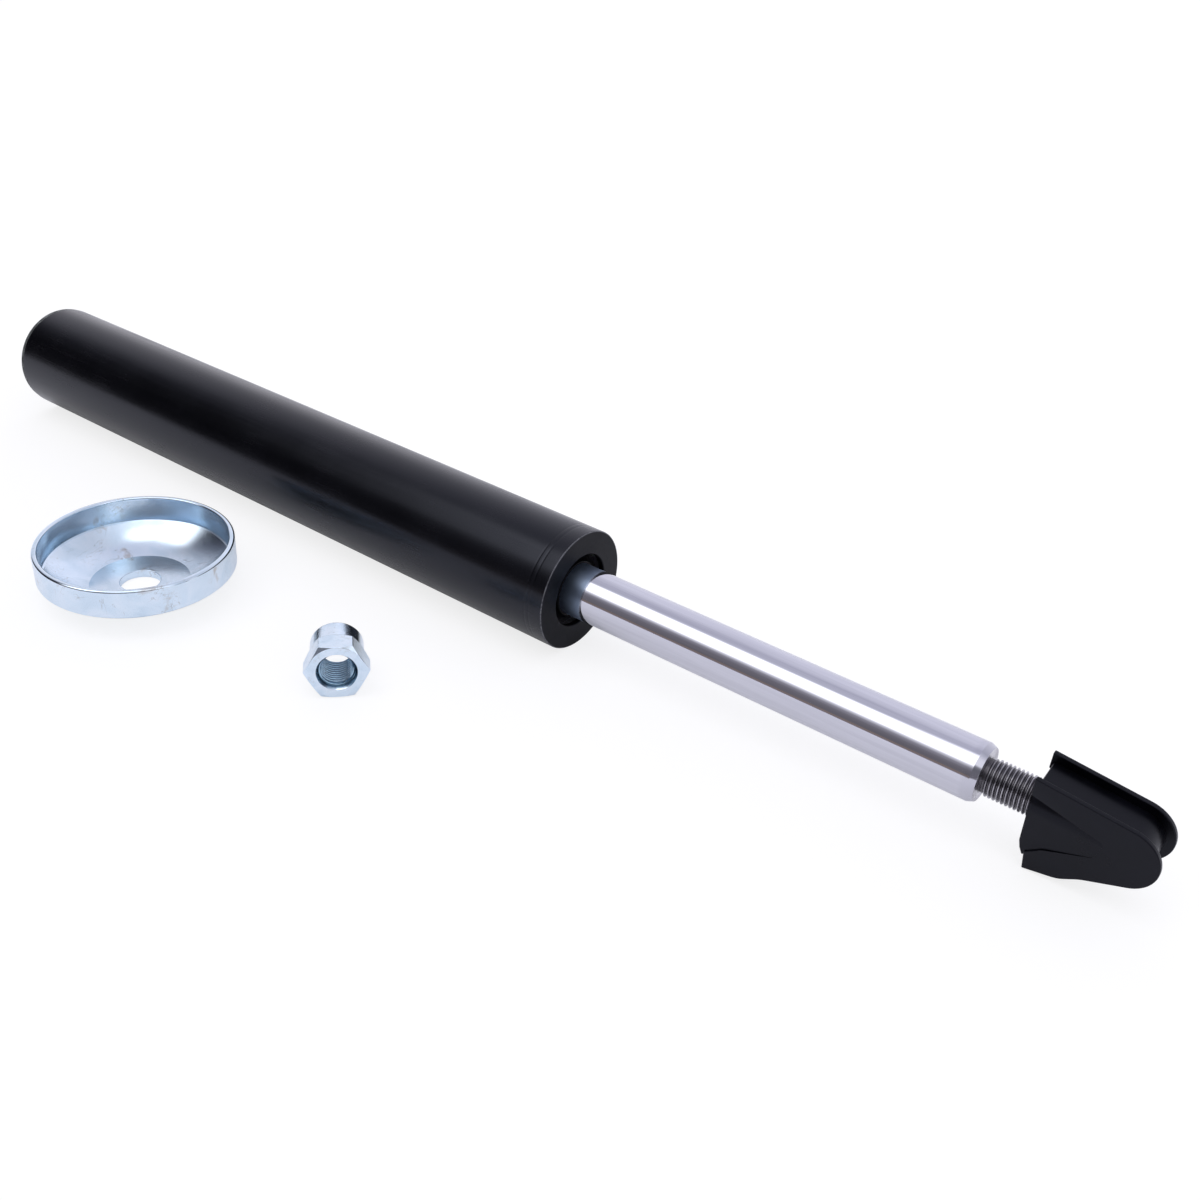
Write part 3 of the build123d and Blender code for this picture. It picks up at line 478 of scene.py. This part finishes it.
def make_collar_nut():
    """The nut: a rounded hexagon's polar radius over the angle, then a round collar.

    At an angle where the hexagon is wider than the face, a cone of the chamfer angle cuts it
    back by (radius - face radius) * tan(angle), and a second cone runs it down to the collar
    behind. The bore's radius is the larger of its mouths' cones and minor + depth * (1 - form).
    The nut leans back on the rear edge of a flat and the edge of its thinner collar.
    """
    corner_radius = nut_width / 2 / cos(pi / 6)
    middles = np.arange(6) * pi / 3
    corner = corner_radius * np.stack([np.cos(middles), np.sin(middles)], -1)
    outline = rounded(corner, [nut_corner_rounding] * 6, shoulder=0.2)[:, 0]
    following = np.roll(outline, -1, 0)
    wide = np.linalg.norm(following - outline, axis=-1) > nut_shortest_flat
    share = np.linspace(0, 1, flat_points)[:, None, None]
    flats = (outline[wide] * (1 - share) + following[wide] * share)[1:-1]
    points = np.concatenate([outline, flats.reshape(-1, 2)])
    turns = np.arctan2(points[:, 1], points[:, 0]) % (2 * pi)
    order = np.argsort(turns)
    turns, hexagon = turns[order], np.linalg.norm(points, axis=-1)[order]
    chamfer = (hexagon - nut_face_radius) * tan(radians(nut_chamfer_angle))
    chamfer = np.maximum(chamfer, nut_edge_break)
    face = np.minimum(nut_face_radius, hexagon - nut_edge_break)
    wider = (hexagon - nut_collar_radius) / (corner_radius - nut_collar_radius)
    flat = np.ones_like(turns)
    slope = tan(radians(nut_mouth_angle))
    sink = (nut_mouth_radius - nut_bore_radius) / slope
    corners = [
        (sink * flat, nut_bore_radius * flat),
        (0 * flat, nut_mouth_radius * flat),
        (0 * flat, face),
        (chamfer, hexagon),
        (nut_hex_length - nut_rear_taper * wider, hexagon),
        (nut_hex_length * flat, nut_collar_radius * flat),
        ((nut_length - nut_collar_chamfer) * flat, nut_collar_radius * flat),
        (nut_length * flat, (nut_collar_radius - nut_collar_chamfer) * flat),
        (nut_length * flat, nut_mouth_radius * flat),
        ((nut_length - sink) * flat, nut_bore_radius * flat),
    ]
    corners = np.stack([np.stack(pair, -1) for pair in corners])
    outer = rounded(corners, [0, 0.2, 0.2, 0.2, 0.3, 0.05, 0.35, 0.35, 0.2, 0], steps=4)[1:-1]
    place = np.linspace(nut_length, 0, bore_rows)[bore_end_rows:-bore_end_rows, None] + 0 * turns
    from_mouth = np.minimum(place, nut_length - place)
    cone = nut_mouth_radius - from_mouth * slope
    thread = nut_bore_radius + thread_depth * (1 - thread_form(place, turns))
    bore = np.stack([place, np.maximum(cone, thread)], -1)
    thinner = nut_width / 2 - nut_collar_radius
    flat_end = nut_hex_length - nut_rear_taper * (thinner / (corner_radius - nut_collar_radius))
    lean = atan(thinner / (nut_length - nut_collar_chamfer - flat_end))
    height = floor_height + nut_width / 2 * cos(lean) + flat_end * sin(lean)
    heading = radians(nut_heading)
    origin = (*nut_place, height)
    axis = (cos(heading) * cos(lean), sin(heading) * cos(lean), -sin(lean))
    nut = lathe(
        "nut_blank",
        np.concatenate([outer, bore]),
        turns=turns,
        origin=origin,
        axis=axis,
        side=(sin(heading), -cos(heading), 0),
    )[0]
    mark_bore(nut, origin, axis)
    return nut


def mark_bore(piece, origin, axis):
    """Marks each point by how far inside the bore it is: 0 at the mouth's edge to 1 at the thread.

    A point's distance from the axis is |p - (p . a) a|, with p measured from the origin. A second
    mark goes from 0 at the thread's root to 1 on its crest.
    """
    points = np.empty(len(piece.data.vertices) * 3, np.float32)
    piece.data.vertices.foreach_get("co", points)
    points = points.reshape(-1, 3) / millimetre - origin
    axis = np.array(axis)
    apart = np.linalg.norm(points - (points @ axis)[:, None] * axis, axis=1)
    marks = {
        "bore": smooth((nut_mouth_radius - bore_mark_edge - apart) / bore_mark_width),
        "crest": smooth((nut_bore_radius + thread_depth - apart) / thread_depth),
    }
    for name, value in marks.items():
        mark = piece.data.attributes.new(name, "FLOAT", "POINT")
        mark.data.foreach_set("value", value.astype(np.float32))


def make_strap_saddle():
    """The saddle: the solid's own mesh, merged and cleaned, with its edges rounded off.

    An outer edge is rounded where its two faces turn away from each other by more than 50
    degrees. The socket's own edges, between the two legs, stay as moulded, and so do hollows.
    """
    mesh = nodes["strap_saddle"].data.copy()
    for name in ("custom_normal", "sharp_edge", "sharp_face"):
        if name in mesh.attributes:
            mesh.attributes.remove(mesh.attributes[name])
    work = bmesh.new()
    work.from_mesh(mesh)
    bmesh.ops.remove_doubles(work, verts=work.verts, dist=same_point * millimetre)
    bmesh.ops.dissolve_limit(
        work, angle_limit=radians(same_face_angle), verts=work.verts, edges=work.edges
    )
    rounding = work.edges.layers.float.new("bevel_weight_edge")
    for edge in work.edges:
        middle = (edge.verts[0].co + edge.verts[1].co) / 2 / millimetre
        in_socket = middle.x < socket_end and socket_low < middle.z < socket_high
        angle = edge.calc_face_angle(0.0)
        outer = edge.is_convex and angle > radians(rounded_angle) and not in_socket
        edge[rounding] = float(outer)
        edge.smooth = outer or angle < radians(shaded_angle)
    work.to_mesh(mesh)
    work.free()
    mesh.materials.clear()
    mesh.polygons.foreach_set("use_smooth", np.ones(len(mesh.polygons), bool))
    saddle = bpy.data.objects.new("saddle_moulding", mesh)
    bpy.context.scene.collection.objects.link(saddle)
    bevel = saddle.modifiers.new("edges", "BEVEL")
    bevel.width = saddle_rounding * millimetre
    bevel.segments = 3
    bevel.limit_method = "WEIGHT"
    bevel.use_clamp_overlap = False
    weights = saddle.modifiers.new("normals", "WEIGHTED_NORMAL")
    weights.keep_sharp = True
    return saddle


# Finishes

cloud_low, cloud_high = 0.3, 0.7  # most of a noise's values lie between these


def start_finish(name, **settings):
    """An empty material and its shader, with the shader's plain values set."""
    material = bpy.data.materials.new(name)
    material.use_nodes = True
    tree = material.node_tree
    shader = tree.nodes["Principled BSDF"]
    for key, value in settings.items():
        shader.inputs[key.replace("_", " ")].default_value = value
    return material, tree, shader


def add(tree, kind, settings=None, **inputs):
    """A node with its settings and its inputs, each a plain value or another node's socket.

    An input goes by its name, or by i and its number. A colour may be three plain values.
    """
    node = tree.nodes.new(kind)
    for key, value in (settings or {}).items():
        setattr(node, key, value)
    for key, value in inputs.items():
        numbered = key[0] == "i" and key[1:].isdigit()
        socket = node.inputs[int(key[1:]) if numbered else key.replace("_", " ")]
        if isinstance(value, bpy.types.NodeSocket):
            tree.links.new(value, socket)
        else:
            socket.default_value = (*value, 1) if socket.type == "RGBA" else value
    return node


def place_on(tree, scale=(1, 1, 1), shift=(0, 0, 0)):
    """The point on the piece in metres, shifted and stretched."""
    point = add(tree, "ShaderNodeTexCoord").outputs["Object"]
    return add(tree, "ShaderNodeMapping", Vector=point, Location=shift, Scale=scale).outputs[0]


def noise(tree, place, scale, detail=3.0, roughness=0.5, distortion=0.0):
    """Soft cloudy noise with so many cells to a metre."""
    return add(
        tree,
        "ShaderNodeTexNoise",
        Vector=place,
        Scale=scale,
        Detail=detail,
        Roughness=roughness,
        Distortion=distortion,
    ).outputs[0]


def ramp(tree, value, stops):
    """Colours along a value, from stops of (value, (r, g, b))."""
    node = add(tree, "ShaderNodeValToRGB", Fac=value)
    elements = node.color_ramp.elements
    while len(elements) < len(stops):
        elements.new(0.5)
    for element, (position, colour) in zip(elements, stops):
        element.position = position
        element.color = (*colour, 1)
    return node.outputs[0]


def span(tree, value, low, high, new_low, new_high, soft=False):
    """A value moved from one range to another and held there."""
    kind = {"interpolation_type": "SMOOTHSTEP" if soft else "LINEAR"}
    return add(
        tree, "ShaderNodeMapRange", kind, i0=value, i1=low, i2=high, i3=new_low, i4=new_high
    ).outputs[0]


def cloud_colours(tree, cloud, dark, light):
    """Colours from dark to light over a noise."""
    return ramp(tree, cloud, [(cloud_low, dark), (cloud_high, light)])


def cloud_values(tree, cloud, first, last):
    """Values from first to last over a noise."""
    return span(tree, cloud, cloud_low, cloud_high, first, last)


def sums(tree, operation, first, second=0.0, third=0.0):
    """One step of arithmetic."""
    node = add(tree, "ShaderNodeMath", {"operation": operation}, i0=first, i1=second, i2=third)
    return node.outputs[0]


def blend(tree, share, first, second):
    """Two colours mixed by a share."""
    node = add(tree, "ShaderNodeMix", {"data_type": "RGBA"}, i0=share, i6=first, i7=second)
    return node.outputs[2]


def axes(tree, vector):
    """A vector's three parts."""
    return add(tree, "ShaderNodeSeparateXYZ", Vector=vector).outputs


def length(tree, operation, first, second=(0, 0, 0)):
    """A vector's length, or its distance from another."""
    node = add(tree, "ShaderNodeVectorMath", {"operation": operation}, i0=first, i1=second)
    return node.outputs["Value"]


def from_axis(tree):
    """The distance from the rod's axis in metres."""
    return length(tree, "LENGTH", place_on(tree, (0, 1, 1)))


def cover(tree, shader, colour, roughness):
    """Gives the shader a colour and a roughness that differ from place to place."""
    tree.links.new(colour, shader.inputs["Base Color"])
    tree.links.new(roughness, shader.inputs["Roughness"])


def bump(tree, shader, height, strength, distance):
    """Fine relief from a height, with its depth in metres."""
    node = add(tree, "ShaderNodeBump", Height=height, Strength=strength, Distance=distance)
    tree.links.new(node.outputs[0], shader.inputs["Normal"])


def edge_mask(tree):
    """1 on the rounded edge between the tube's skin and its turned-in end, and 0 elsewhere.

    The place along the tube and the distance from the axis are added, and only on the edge is
    their sum high.
    """
    reach = sums(tree, "ADD", axes(tree, place_on(tree))[0], from_axis(tree))
    flats = (body_length + tube_radius - mouth_rounding) * millimetre
    return span(tree, reach, flats + 0.00002, flats + 0.00012, 0.0, 1.0, soft=True)


def tube_paint(name, shine, dulled):
    """Black paint: nearly even, with faint cloudiness, fine grain and rubbed streaks."""
    bluish = (0.80, 0.84, 1.0, 1)
    material, tree, shader = start_finish(name, Specular_IOR_Level=shine, Specular_Tint=bluish)
    place = place_on(tree)
    clouds = noise(tree, place, 38, 4)
    streaks = noise(tree, place_on(tree, (6, 160, 160)), 4.0, 3)
    grain = noise(tree, place, 2200, 2)
    black = cloud_colours(tree, clouds, (0.0005, 0.0005, 0.0009), (0.0013, 0.0013, 0.0022))
    # painted highlight: the tube's rounded mouth edge is painted a patchy lighter grey (0.15,
    # 0.15, 0.16)
    edge_highlight_patches = span(tree, noise(tree, place, 600, 4, 0.7), 0.35, 0.6, 0.25, 1.0)
    painted_edge_highlight = sums(tree, "MULTIPLY", edge_mask(tree), edge_highlight_patches)
    gloss = cloud_values(tree, clouds, 0.20 + dulled, 0.26 + dulled)
    streaked = sums(tree, "ADD", gloss, span(tree, streaks, 0.4, 0.7, 0.0, 0.04))
    cover(tree, shader, blend(tree, painted_edge_highlight, black, (0.15, 0.15, 0.16)), streaked)
    bump(tree, shader, grain, 0.12, 0.00002)
    return material


def cap_paint():
    """Thin dull paint over bare steel, scuffed lighter in patches."""
    material, tree, shader = start_finish("thin_grey_paint")
    place = place_on(tree)
    patches = noise(tree, place, 420, 5, 0.65)
    paint, thin, scuffed = (0.03, 0.034, 0.032), (0.08, 0.088, 0.084), (0.17, 0.185, 0.178)
    colours = ramp(tree, patches, [(0.36, paint), (0.52, thin), (0.68, scuffed)])
    cover(tree, shader, colours, cloud_values(tree, patches, 0.62, 0.42))
    bump(tree, shader, noise(tree, place, 2600, 3), 0.35, 0.00004)
    return material


def seal_rubber():
    """Black oiled rubber, soft gloss with a fine grain."""
    material, tree, shader = start_finish("black_seal_rubber", Specular_IOR_Level=0.08)
    place = place_on(tree)
    clouds = noise(tree, place, 260, 3)
    black = cloud_colours(tree, clouds, (0.0005, 0.0005, 0.0007), (0.0014, 0.0014, 0.0018))
    cover(tree, shader, black, cloud_values(tree, clouds, 0.42, 0.55))
    bump(tree, shader, noise(tree, place, 1800, 3), 0.2, 0.00003)
    return material


def rod_chrome():
    """Hard chrome, ground round and polished: faint lengthwise smears and fine round lines.

    The last few millimetres before the shoulder are left duller, and next to the seal the
    chrome has a painted blue-black reflection of the tube's dark mouth, and is rougher there.
    """
    dull_start = (rod_shoulder - dull_length) * millimetre
    reflection_band_end = (body_length + reflection_band_length) * millimetre
    material, tree, shader = start_finish("hard_chrome", Metallic=1.0)
    smears = noise(tree, place_on(tree, (5, 190, 190)), 3.0, 4, 0.6)
    lines = noise(tree, place_on(tree, (2600, 3, 3)), 1.0, 3)
    along = axes(tree, place_on(tree))[0]
    dull = span(tree, along, dull_start - 0.0008, dull_start + 0.0014, 0.0, 1.0, soft=True)
    # painted reflection: a blue-black band next to the seal stands in for the tube's dark mouth
    # mirrored in the chrome
    painted_reflection = span(tree, along, reflection_band_end - 0.0010, reflection_band_end + 0.0006, 1.0, 0.0, soft=True)
    bright = cloud_colours(tree, smears, (0.56, 0.56, 0.62), (0.64, 0.64, 0.70))
    clean = blend(tree, dull, bright, (0.56, 0.56, 0.62))
    smeared = span(tree, smears, 0.35, 0.75, 0.03, 0.06)
    fine = sums(tree, "ADD", smeared, span(tree, lines, 0.5, 0.8, 0.0, 0.02))
    reflection_band_roughness = sums(tree, "MULTIPLY_ADD", painted_reflection, 0.32, fine)
    roughness = sums(tree, "MULTIPLY_ADD", dull, 0.05, reflection_band_roughness)
    # the band's blue-black colour (0.38, 0.47, 0.62) is the painted reflection
    cover(tree, shader, blend(tree, painted_reflection, clean, (0.38, 0.47, 0.62)), roughness)
    bump(tree, shader, sums(tree, "ADD", lines, smears), 0.05, 0.00002)
    return material


def stud_steel():
    """Bare machined steel, cloudy in tone, with painted shade that darkens the thread's roots."""
    root, top = (stud_radius - 0.75) * millimetre, (stud_radius - 0.1) * millimetre
    material, tree, shader = start_finish("bare_stud_steel", Metallic=1.0)
    bloom = noise(tree, place_on(tree), 240, 4)
    crest = span(tree, from_axis(tree), root, top, 0.0, 1.0)
    steel = cloud_colours(tree, bloom, (0.38, 0.37, 0.40), (0.56, 0.55, 0.58))
    # painted shade: towards the thread's roots the steel is darkened to (0.11, 0.105, 0.115)
    colour = blend(tree, crest, (0.11, 0.105, 0.115), steel)
    cover(tree, shader, colour, cloud_values(tree, bloom, 0.34, 0.22))
    bump(tree, shader, noise(tree, place_on(tree, (3000, 200, 200)), 1.0, 2), 0.15, 0.00002)
    return material


def zinc_plate(name, stains, scale, gloss, rim_height=1.0):
    """Bright zinc plate with a bluish rinse, water marks and a few warm brown stains.

    Where the piece has a bore, its inside is painted a darker blue as shade, darkest in the
    thread's roots. Above the rim's height in metres it is rubbed bright.
    """
    rinse = [
        (0.30, (0.62, 0.75, 0.86)),
        (0.47, (0.70, 0.82, 0.92)),
        (0.60, (0.76, 0.86, 0.95)),
        (0.75, (0.66, 0.78, 0.88)),
    ]
    brown, dry_line = (0.44, 0.38, 0.32), (0.36, 0.37, 0.38)
    # painted shade in the bore: colours for the thread's roots and crests
    shaded_thread_root, shaded_thread_crest = (0.09, 0.18, 0.26), (0.50, 0.70, 0.86)
    material, tree, shader = start_finish(name, Metallic=1.0)

    def shifted(*shift):
        return place_on(tree, shift=shift)

    place = place_on(tree)
    rubbed = span(tree, axes(tree, place)[2], rim_height, rim_height + 0.0004, 0.0, 1.0)
    marks = noise(tree, place, 60 * scale, 5, 0.6, 0.6)
    patch = span(tree, noise(tree, shifted(0.2, 0.5, 0.1), 45, 2), 0.48, 0.62, 0.15, 1.0)
    speckle = noise(tree, shifted(0.3, 0.1, 0.2), 2000, 3, 0.7)
    speckle = sums(tree, "MULTIPLY", speckle, patch)
    warm = noise(tree, shifted(0.11, 0.42, 0.05), 75 * scale, 4, 0.55, 0.4)
    stained = span(tree, warm, 0.62, 0.72, 0.0, stains, soft=True)
    plated = blend(tree, stained, ramp(tree, marks, rinse), brown)
    drop = noise(tree, shifted(0.7, 0.2, 0.4), 55 * scale, 3, 0.6, 1.2)
    from_edge = sums(tree, "ABSOLUTE", sums(tree, "SUBTRACT", drop, 0.5))
    near_edge = span(tree, from_edge, 0.0, 0.008, 1.0, 0.0)
    dried = sums(tree, "MULTIPLY", near_edge, span(tree, warm, 0.50, 0.58, 0.0, 0.55))
    plated = blend(tree, dried, plated, dry_line)
    # painted shade: inside the bore the plate turns darker blue, and darker still in the thread's
    # roots
    bore_shade, crest = (
        add(tree, "ShaderNodeAttribute", {"attribute_name": mark}).outputs["Fac"]
        for mark in ("bore", "crest")
    )
    thread = blend(tree, crest, shaded_thread_root, shaded_thread_crest)
    even = cloud_values(tree, marks, gloss + 0.05, gloss - 0.03)
    soft = sums(tree, "ADD", even, span(tree, speckle, 0.4, 0.7, 0.0, 0.05))
    roughness = sums(tree, "MULTIPLY", soft, span(tree, rubbed, 0.0, 1.0, 1.0, 0.45))
    cover(tree, shader, blend(tree, bore_shade, plated, thread), roughness)
    bump(tree, shader, speckle, 0.14, 0.00002)
    return material


def saddle_plastic():
    """Black moulded plastic, satin, with a fine grain and faint flow marks."""
    material, tree, shader = start_finish(
        "black_moulded_plastic", Specular_IOR_Level=0.24, Specular_Tint=(0.80, 0.83, 1.0, 1)
    )
    place = place_on(tree)
    flow = noise(tree, place, 90, 4)
    black = cloud_colours(tree, flow, (0.0008, 0.0008, 0.0016), (0.0020, 0.0020, 0.0040))
    cover(tree, shader, black, cloud_values(tree, flow, 0.27, 0.35))
    bump(tree, shader, noise(tree, place, 2400, 3), 0.15, 0.00002)
    return material


def turned_metal(name, dark, light, roughness):
    """Metal as it leaves the lathe: cloudy colour and fine lines round the axis."""
    material, tree, shader = start_finish(name, Metallic=1.0)
    clouds = noise(tree, place_on(tree), 210, 4)
    lines = noise(tree, place_on(tree, (2800, 30, 30)), 1.0, 3)
    gloss = cloud_values(tree, clouds, roughness + 0.08, roughness - 0.04)
    cover(tree, shader, cloud_colours(tree, clouds, dark, light), gloss)
    bump(tree, shader, lines, 0.15, 0.00003)
    return material


def grained(name, dark, light, roughness, cells, metallic=0.0):
    """A grainy solid finish, such as pressed iron powder or moulded plastic."""
    material, tree, shader = start_finish(name, Metallic=metallic)
    grain = noise(tree, place_on(tree), cells, 4, 0.7)
    gloss = cloud_values(tree, grain, roughness + 0.06, roughness - 0.06)
    cover(tree, shader, ramp(tree, grain, [(0.35, dark), (0.65, light)]), gloss)
    bump(tree, shader, grain, 0.3, 0.00004)
    return material


rim_start = (floor_height + washer_height - rubbed_rim) * millimetre
finishes = {
    "tube_paint": tube_paint("satin_black_paint", 0.40, 0.0),
    "cap_paint": cap_paint(),
    "seal_rubber": seal_rubber(),
    "rod_chrome": rod_chrome(),
    "saddle_plastic": saddle_plastic(),
    "zinc_plate": zinc_plate("zinc_plate_cup", 0.6, 1.0, 0.18, rim_start),
    "plain_steel": turned_metal("plain_steel", (0.40, 0.40, 0.42), (0.55, 0.55, 0.57), 0.32),
    "sintered_iron": grained(
        "sintered_iron", (0.12, 0.12, 0.12), (0.26, 0.26, 0.25), 0.52, 1600, metallic=0.8
    ),
    "bush_bronze": turned_metal("bush_bronze", (0.45, 0.30, 0.15), (0.62, 0.44, 0.24), 0.30),
    "cushion_plastic": grained(
        "natural_nylon", (0.62, 0.58, 0.48), (0.74, 0.70, 0.60), 0.45, 700
    ),
    "band_plastic": grained(
        "dark_band_plastic", (0.03, 0.03, 0.03), (0.07, 0.07, 0.07), 0.48, 1200
    ),
}
stud_finish = stud_steel()
mouth_finish = tube_paint("dull_black_paint", 0.15, 0.22)
nut_finish = zinc_plate("zinc_plate_nut", 0.15, 2.4, 0.15)

for row in frame["record"]["subparts"]:
    solid, finish = nodes[row["node"]], finishes[row["material_slot"]]
    if not solid.material_slots:
        solid.data.materials.append(finish)
    for holder in solid.material_slots:
        holder.material = finish


def dress(piece, node, body, slot, *materials):
    """Puts a finished piece in a solid's place, on the solid's body, with its materials."""
    piece.data.materials.clear()
    for material in materials or (finishes[slot],):
        piece.data.materials.append(material)
    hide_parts(node)
    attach(piece, body)


def dress_in_two(piece, node, body, slot, second):
    """A piece with two finishes, whose faces keep the number that says which."""
    numbers = np.empty(len(piece.data.polygons), np.int32)
    piece.data.polygons.foreach_get("material_index", numbers)
    dress(piece, node, body, slot, finishes[slot], second)
    number_faces(piece, numbers)


dress_in_two(make_outer_tube(), "outer_tube", "cartridge", "tube_paint", mouth_finish)
dress(make_base_cap(), "base_cap", "cartridge", "cap_paint")
dress(make_oil_seal(), "oil_seal", "cartridge", "seal_rubber")
dress_in_two(make_piston_rod(), "piston_rod", "rod", "rod_chrome", stud_finish)
dress(make_strap_saddle(), "strap_saddle", "saddle", "saddle_plastic")
dress(make_dished_washer(), "dished_washer", "washer", "zinc_plate")
dress(make_collar_nut(), "collar_nut", "nut", "zinc_plate", nut_finish)


# Studio

floor_reach = 4.0
floor_gap = 0.00002
floor_colour = (0.80, 0.80, 0.82)
mirrored_floor = (0.85, 0.19)  # grey and own light of the floor in a reflection
seen_floor = (0.26, 0.80)  # and where the camera sees it

# Brightness by direction. Each row gives degrees from level on the camera's side over the top to
# the back, and a colour in which the camera's white is 1.
full_light = 2.4
light_beside_rod = [
    (-90, (1.00, 1.00, 1.10)),
    (-4, (0.80, 0.80, 0.88)),
    (1, (0.26, 0.24, 0.27)),
    (5, (0.30, 0.22, 0.18)),
    (9, (0.18, 0.17, 0.19)),
    (26, (0.22, 0.21, 0.24)),
    (36, (0.36, 0.35, 0.40)),
    (44, (0.90, 0.90, 0.95)),
    (51, (2.20, 2.20, 2.30)),
    (82, (2.20, 2.20, 2.30)),
    (89, (0.75, 0.76, 0.86)),
    (97, (0.66, 0.66, 0.78)),
    (110, (0.64, 0.64, 0.76)),
    (122, (0.80, 0.80, 0.92)),
    (140, (0.92, 0.92, 1.05)),
    (179, (0.92, 0.92, 1.05)),
]
light_beside_tube = [
    (-90, (1.00, 1.00, 1.10)),
    (-4, (0.90, 0.90, 1.00)),
    (2, (0.05, 0.05, 0.06)),
    (40, (0.015, 0.015, 0.02)),
    (62, (0.03, 0.03, 0.04)),
    (80, (0.13, 0.13, 0.17)),
    (94, (0.40, 0.40, 0.46)),
    (108, (0.70, 0.69, 0.78)),
    (124, (0.80, 0.79, 0.88)),
    (140, (0.88, 0.87, 0.96)),
    (160, (1.18, 1.16, 1.26)),
    (179, (1.18, 1.16, 1.26)),
]
light_beside_saddle = [
    (-90, (1.00, 1.00, 1.10)),
    (-4, (0.80, 0.80, 0.88)),
    (2, (0.22, 0.21, 0.24)),
    (40, (0.20, 0.20, 0.23)),
    (50, (0.36, 0.36, 0.40)),
    (58, (1.20, 1.20, 1.28)),
    (82, (1.15, 1.15, 1.23)),
    (92, (0.95, 0.95, 1.05)),
    (102, (0.74, 0.75, 0.85)),
    (114, (0.60, 0.61, 0.70)),
    (140, (0.76, 0.76, 0.86)),
    (179, (0.95, 0.95, 1.05)),
]

# The direction's part along the rod, where one set of lights gives way to the next
tube_to_rod = (-0.66, -0.47)
rod_to_saddle = (-0.20, -0.04)

# The round lamp: its direction, how far from that its edge starts and ends, and its colour
lamp_direction = (-0.06, -0.09, 0.99)
lamp_edge = (0.09, 0.24)
lamp_colour = (2.25, 2.25, 2.35)

# The camera's axes and place in metres
camera_lens = 39.122
camera_right = (0.7974558, 0.6002135, 0.0617087)
camera_up = (-0.3631912, 0.3958268, 0.8434532)
camera_back = (0.4818261, -0.6950287, 0.5336466)
camera_place = (0.60947, -0.36338, 0.27864)


def lay_floor():
    """A plain white floor. The camera sees it a little brighter, and so it is white where no
    shadow falls, and in a reflection it has some light of its own."""
    mesh = bpy.data.meshes.new("studio_floor")
    height = floor_height * millimetre - floor_gap
    signs = [(-1, -1), (1, -1), (1, 1), (-1, 1)]
    corners = [(floor_reach * x, floor_reach * y, height) for x, y in signs]
    mesh.from_pydata(corners, [], [(0, 1, 2, 3)])
    floor = bpy.data.objects.new("studio_floor", mesh)
    bpy.context.scene.collection.objects.link(floor)
    material = bpy.data.materials.new("white_floor")
    material.use_nodes = True
    tree = material.node_tree
    tree.nodes.clear()
    path = add(tree, "ShaderNodeLightPath").outputs
    mirrored = sums(tree, "MAXIMUM", path["Is Glossy Ray"], path["Is Transmission Ray"])
    mixed = add(tree, "ShaderNodeBsdfDiffuse", Color=floor_colour).outputs[0]
    shares = ((mirrored, mirrored_floor), (path["Is Camera Ray"], seen_floor))
    for share, (grey, strength) in shares:
        pale = add(tree, "ShaderNodeBsdfDiffuse", Color=(grey, grey, grey * 1.03)).outputs[0]
        glow = add(tree, "ShaderNodeEmission", Color=(1, 1, 1), Strength=strength).outputs[0]
        lifted = add(tree, "ShaderNodeAddShader", i0=pale, i1=glow).outputs[0]
        mixed = add(tree, "ShaderNodeMixShader", i0=share, i1=mixed, i2=lifted).outputs[0]
    add(tree, "ShaderNodeOutputMaterial", Surface=mixed)
    mesh.materials.append(material)


def light_studio():
    """Soft light from all round, by the direction that it comes from.

    The height angle goes from the camera's side over the top to the back. Across from the rod
    there is a bright box overhead and a dark camera side; towards the base end the box is gone,
    and towards the stud's end it is a round soft lamp. The camera itself sees white.
    """
    world = bpy.data.worlds.new("studio")
    bpy.context.scene.world = world
    world.use_nodes = True
    tree = world.node_tree
    tree.nodes.clear()
    direction = add(tree, "ShaderNodeTexCoord").outputs["Generated"]
    x, y, z = axes(tree, direction)
    angle = sums(tree, "ARCTAN2", z, sums(tree, "MULTIPLY", y, -1.0))
    height = sums(tree, "MULTIPLY_ADD", angle, 1 / (2 * pi), 0.5)

    def dimmed(colour):
        return tuple(c / full_light for c in colour)

    def lights(rows):
        stops = [(0.5 + degrees / 360, dimmed(colour)) for degrees, colour in rows]
        return ramp(tree, height, stops)

    rod_share = span(tree, x, *tube_to_rod, 0.0, 1.0, soft=True)
    end_share = span(tree, x, *rod_to_saddle, 0.0, 1.0, soft=True)
    colour = blend(tree, rod_share, lights(light_beside_tube), lights(light_beside_rod))
    colour = blend(tree, end_share, colour, lights(light_beside_saddle))
    from_lamp = length(tree, "DISTANCE", direction, lamp_direction)
    lamp = span(tree, from_lamp, *lamp_edge, 1.0, 0.0, soft=True)
    colour = blend(tree, lamp, colour, dimmed(lamp_colour))
    light = add(tree, "ShaderNodeBackground", Color=colour, Strength=full_light).outputs[0]
    white = add(tree, "ShaderNodeBackground", Color=(1, 1, 1), Strength=1.0).outputs[0]
    seen = add(tree, "ShaderNodeLightPath").outputs["Is Camera Ray"]
    mixed = add(tree, "ShaderNodeMixShader", i0=seen, i1=light, i2=white).outputs[0]
    add(tree, "ShaderNodeOutputWorld", Surface=mixed)


def place_camera():
    """The camera stands to the rod's side and looks down at the parts."""
    camera = bpy.data.cameras.new("camera")
    camera.sensor_width = 36.0
    camera.lens = camera_lens
    camera.clip_start = 0.01
    camera.clip_end = 50.0
    holder = bpy.data.objects.new("camera", camera)
    columns = (camera_right, camera_up, camera_back, camera_place)
    holder.matrix_world = Matrix([*zip(*columns), (0, 0, 0, 1)])
    bpy.context.scene.collection.objects.link(holder)
    bpy.context.scene.camera = holder


lay_floor()
light_studio()
place_camera()
bpy.context.scene.view_settings.view_transform = "Standard"
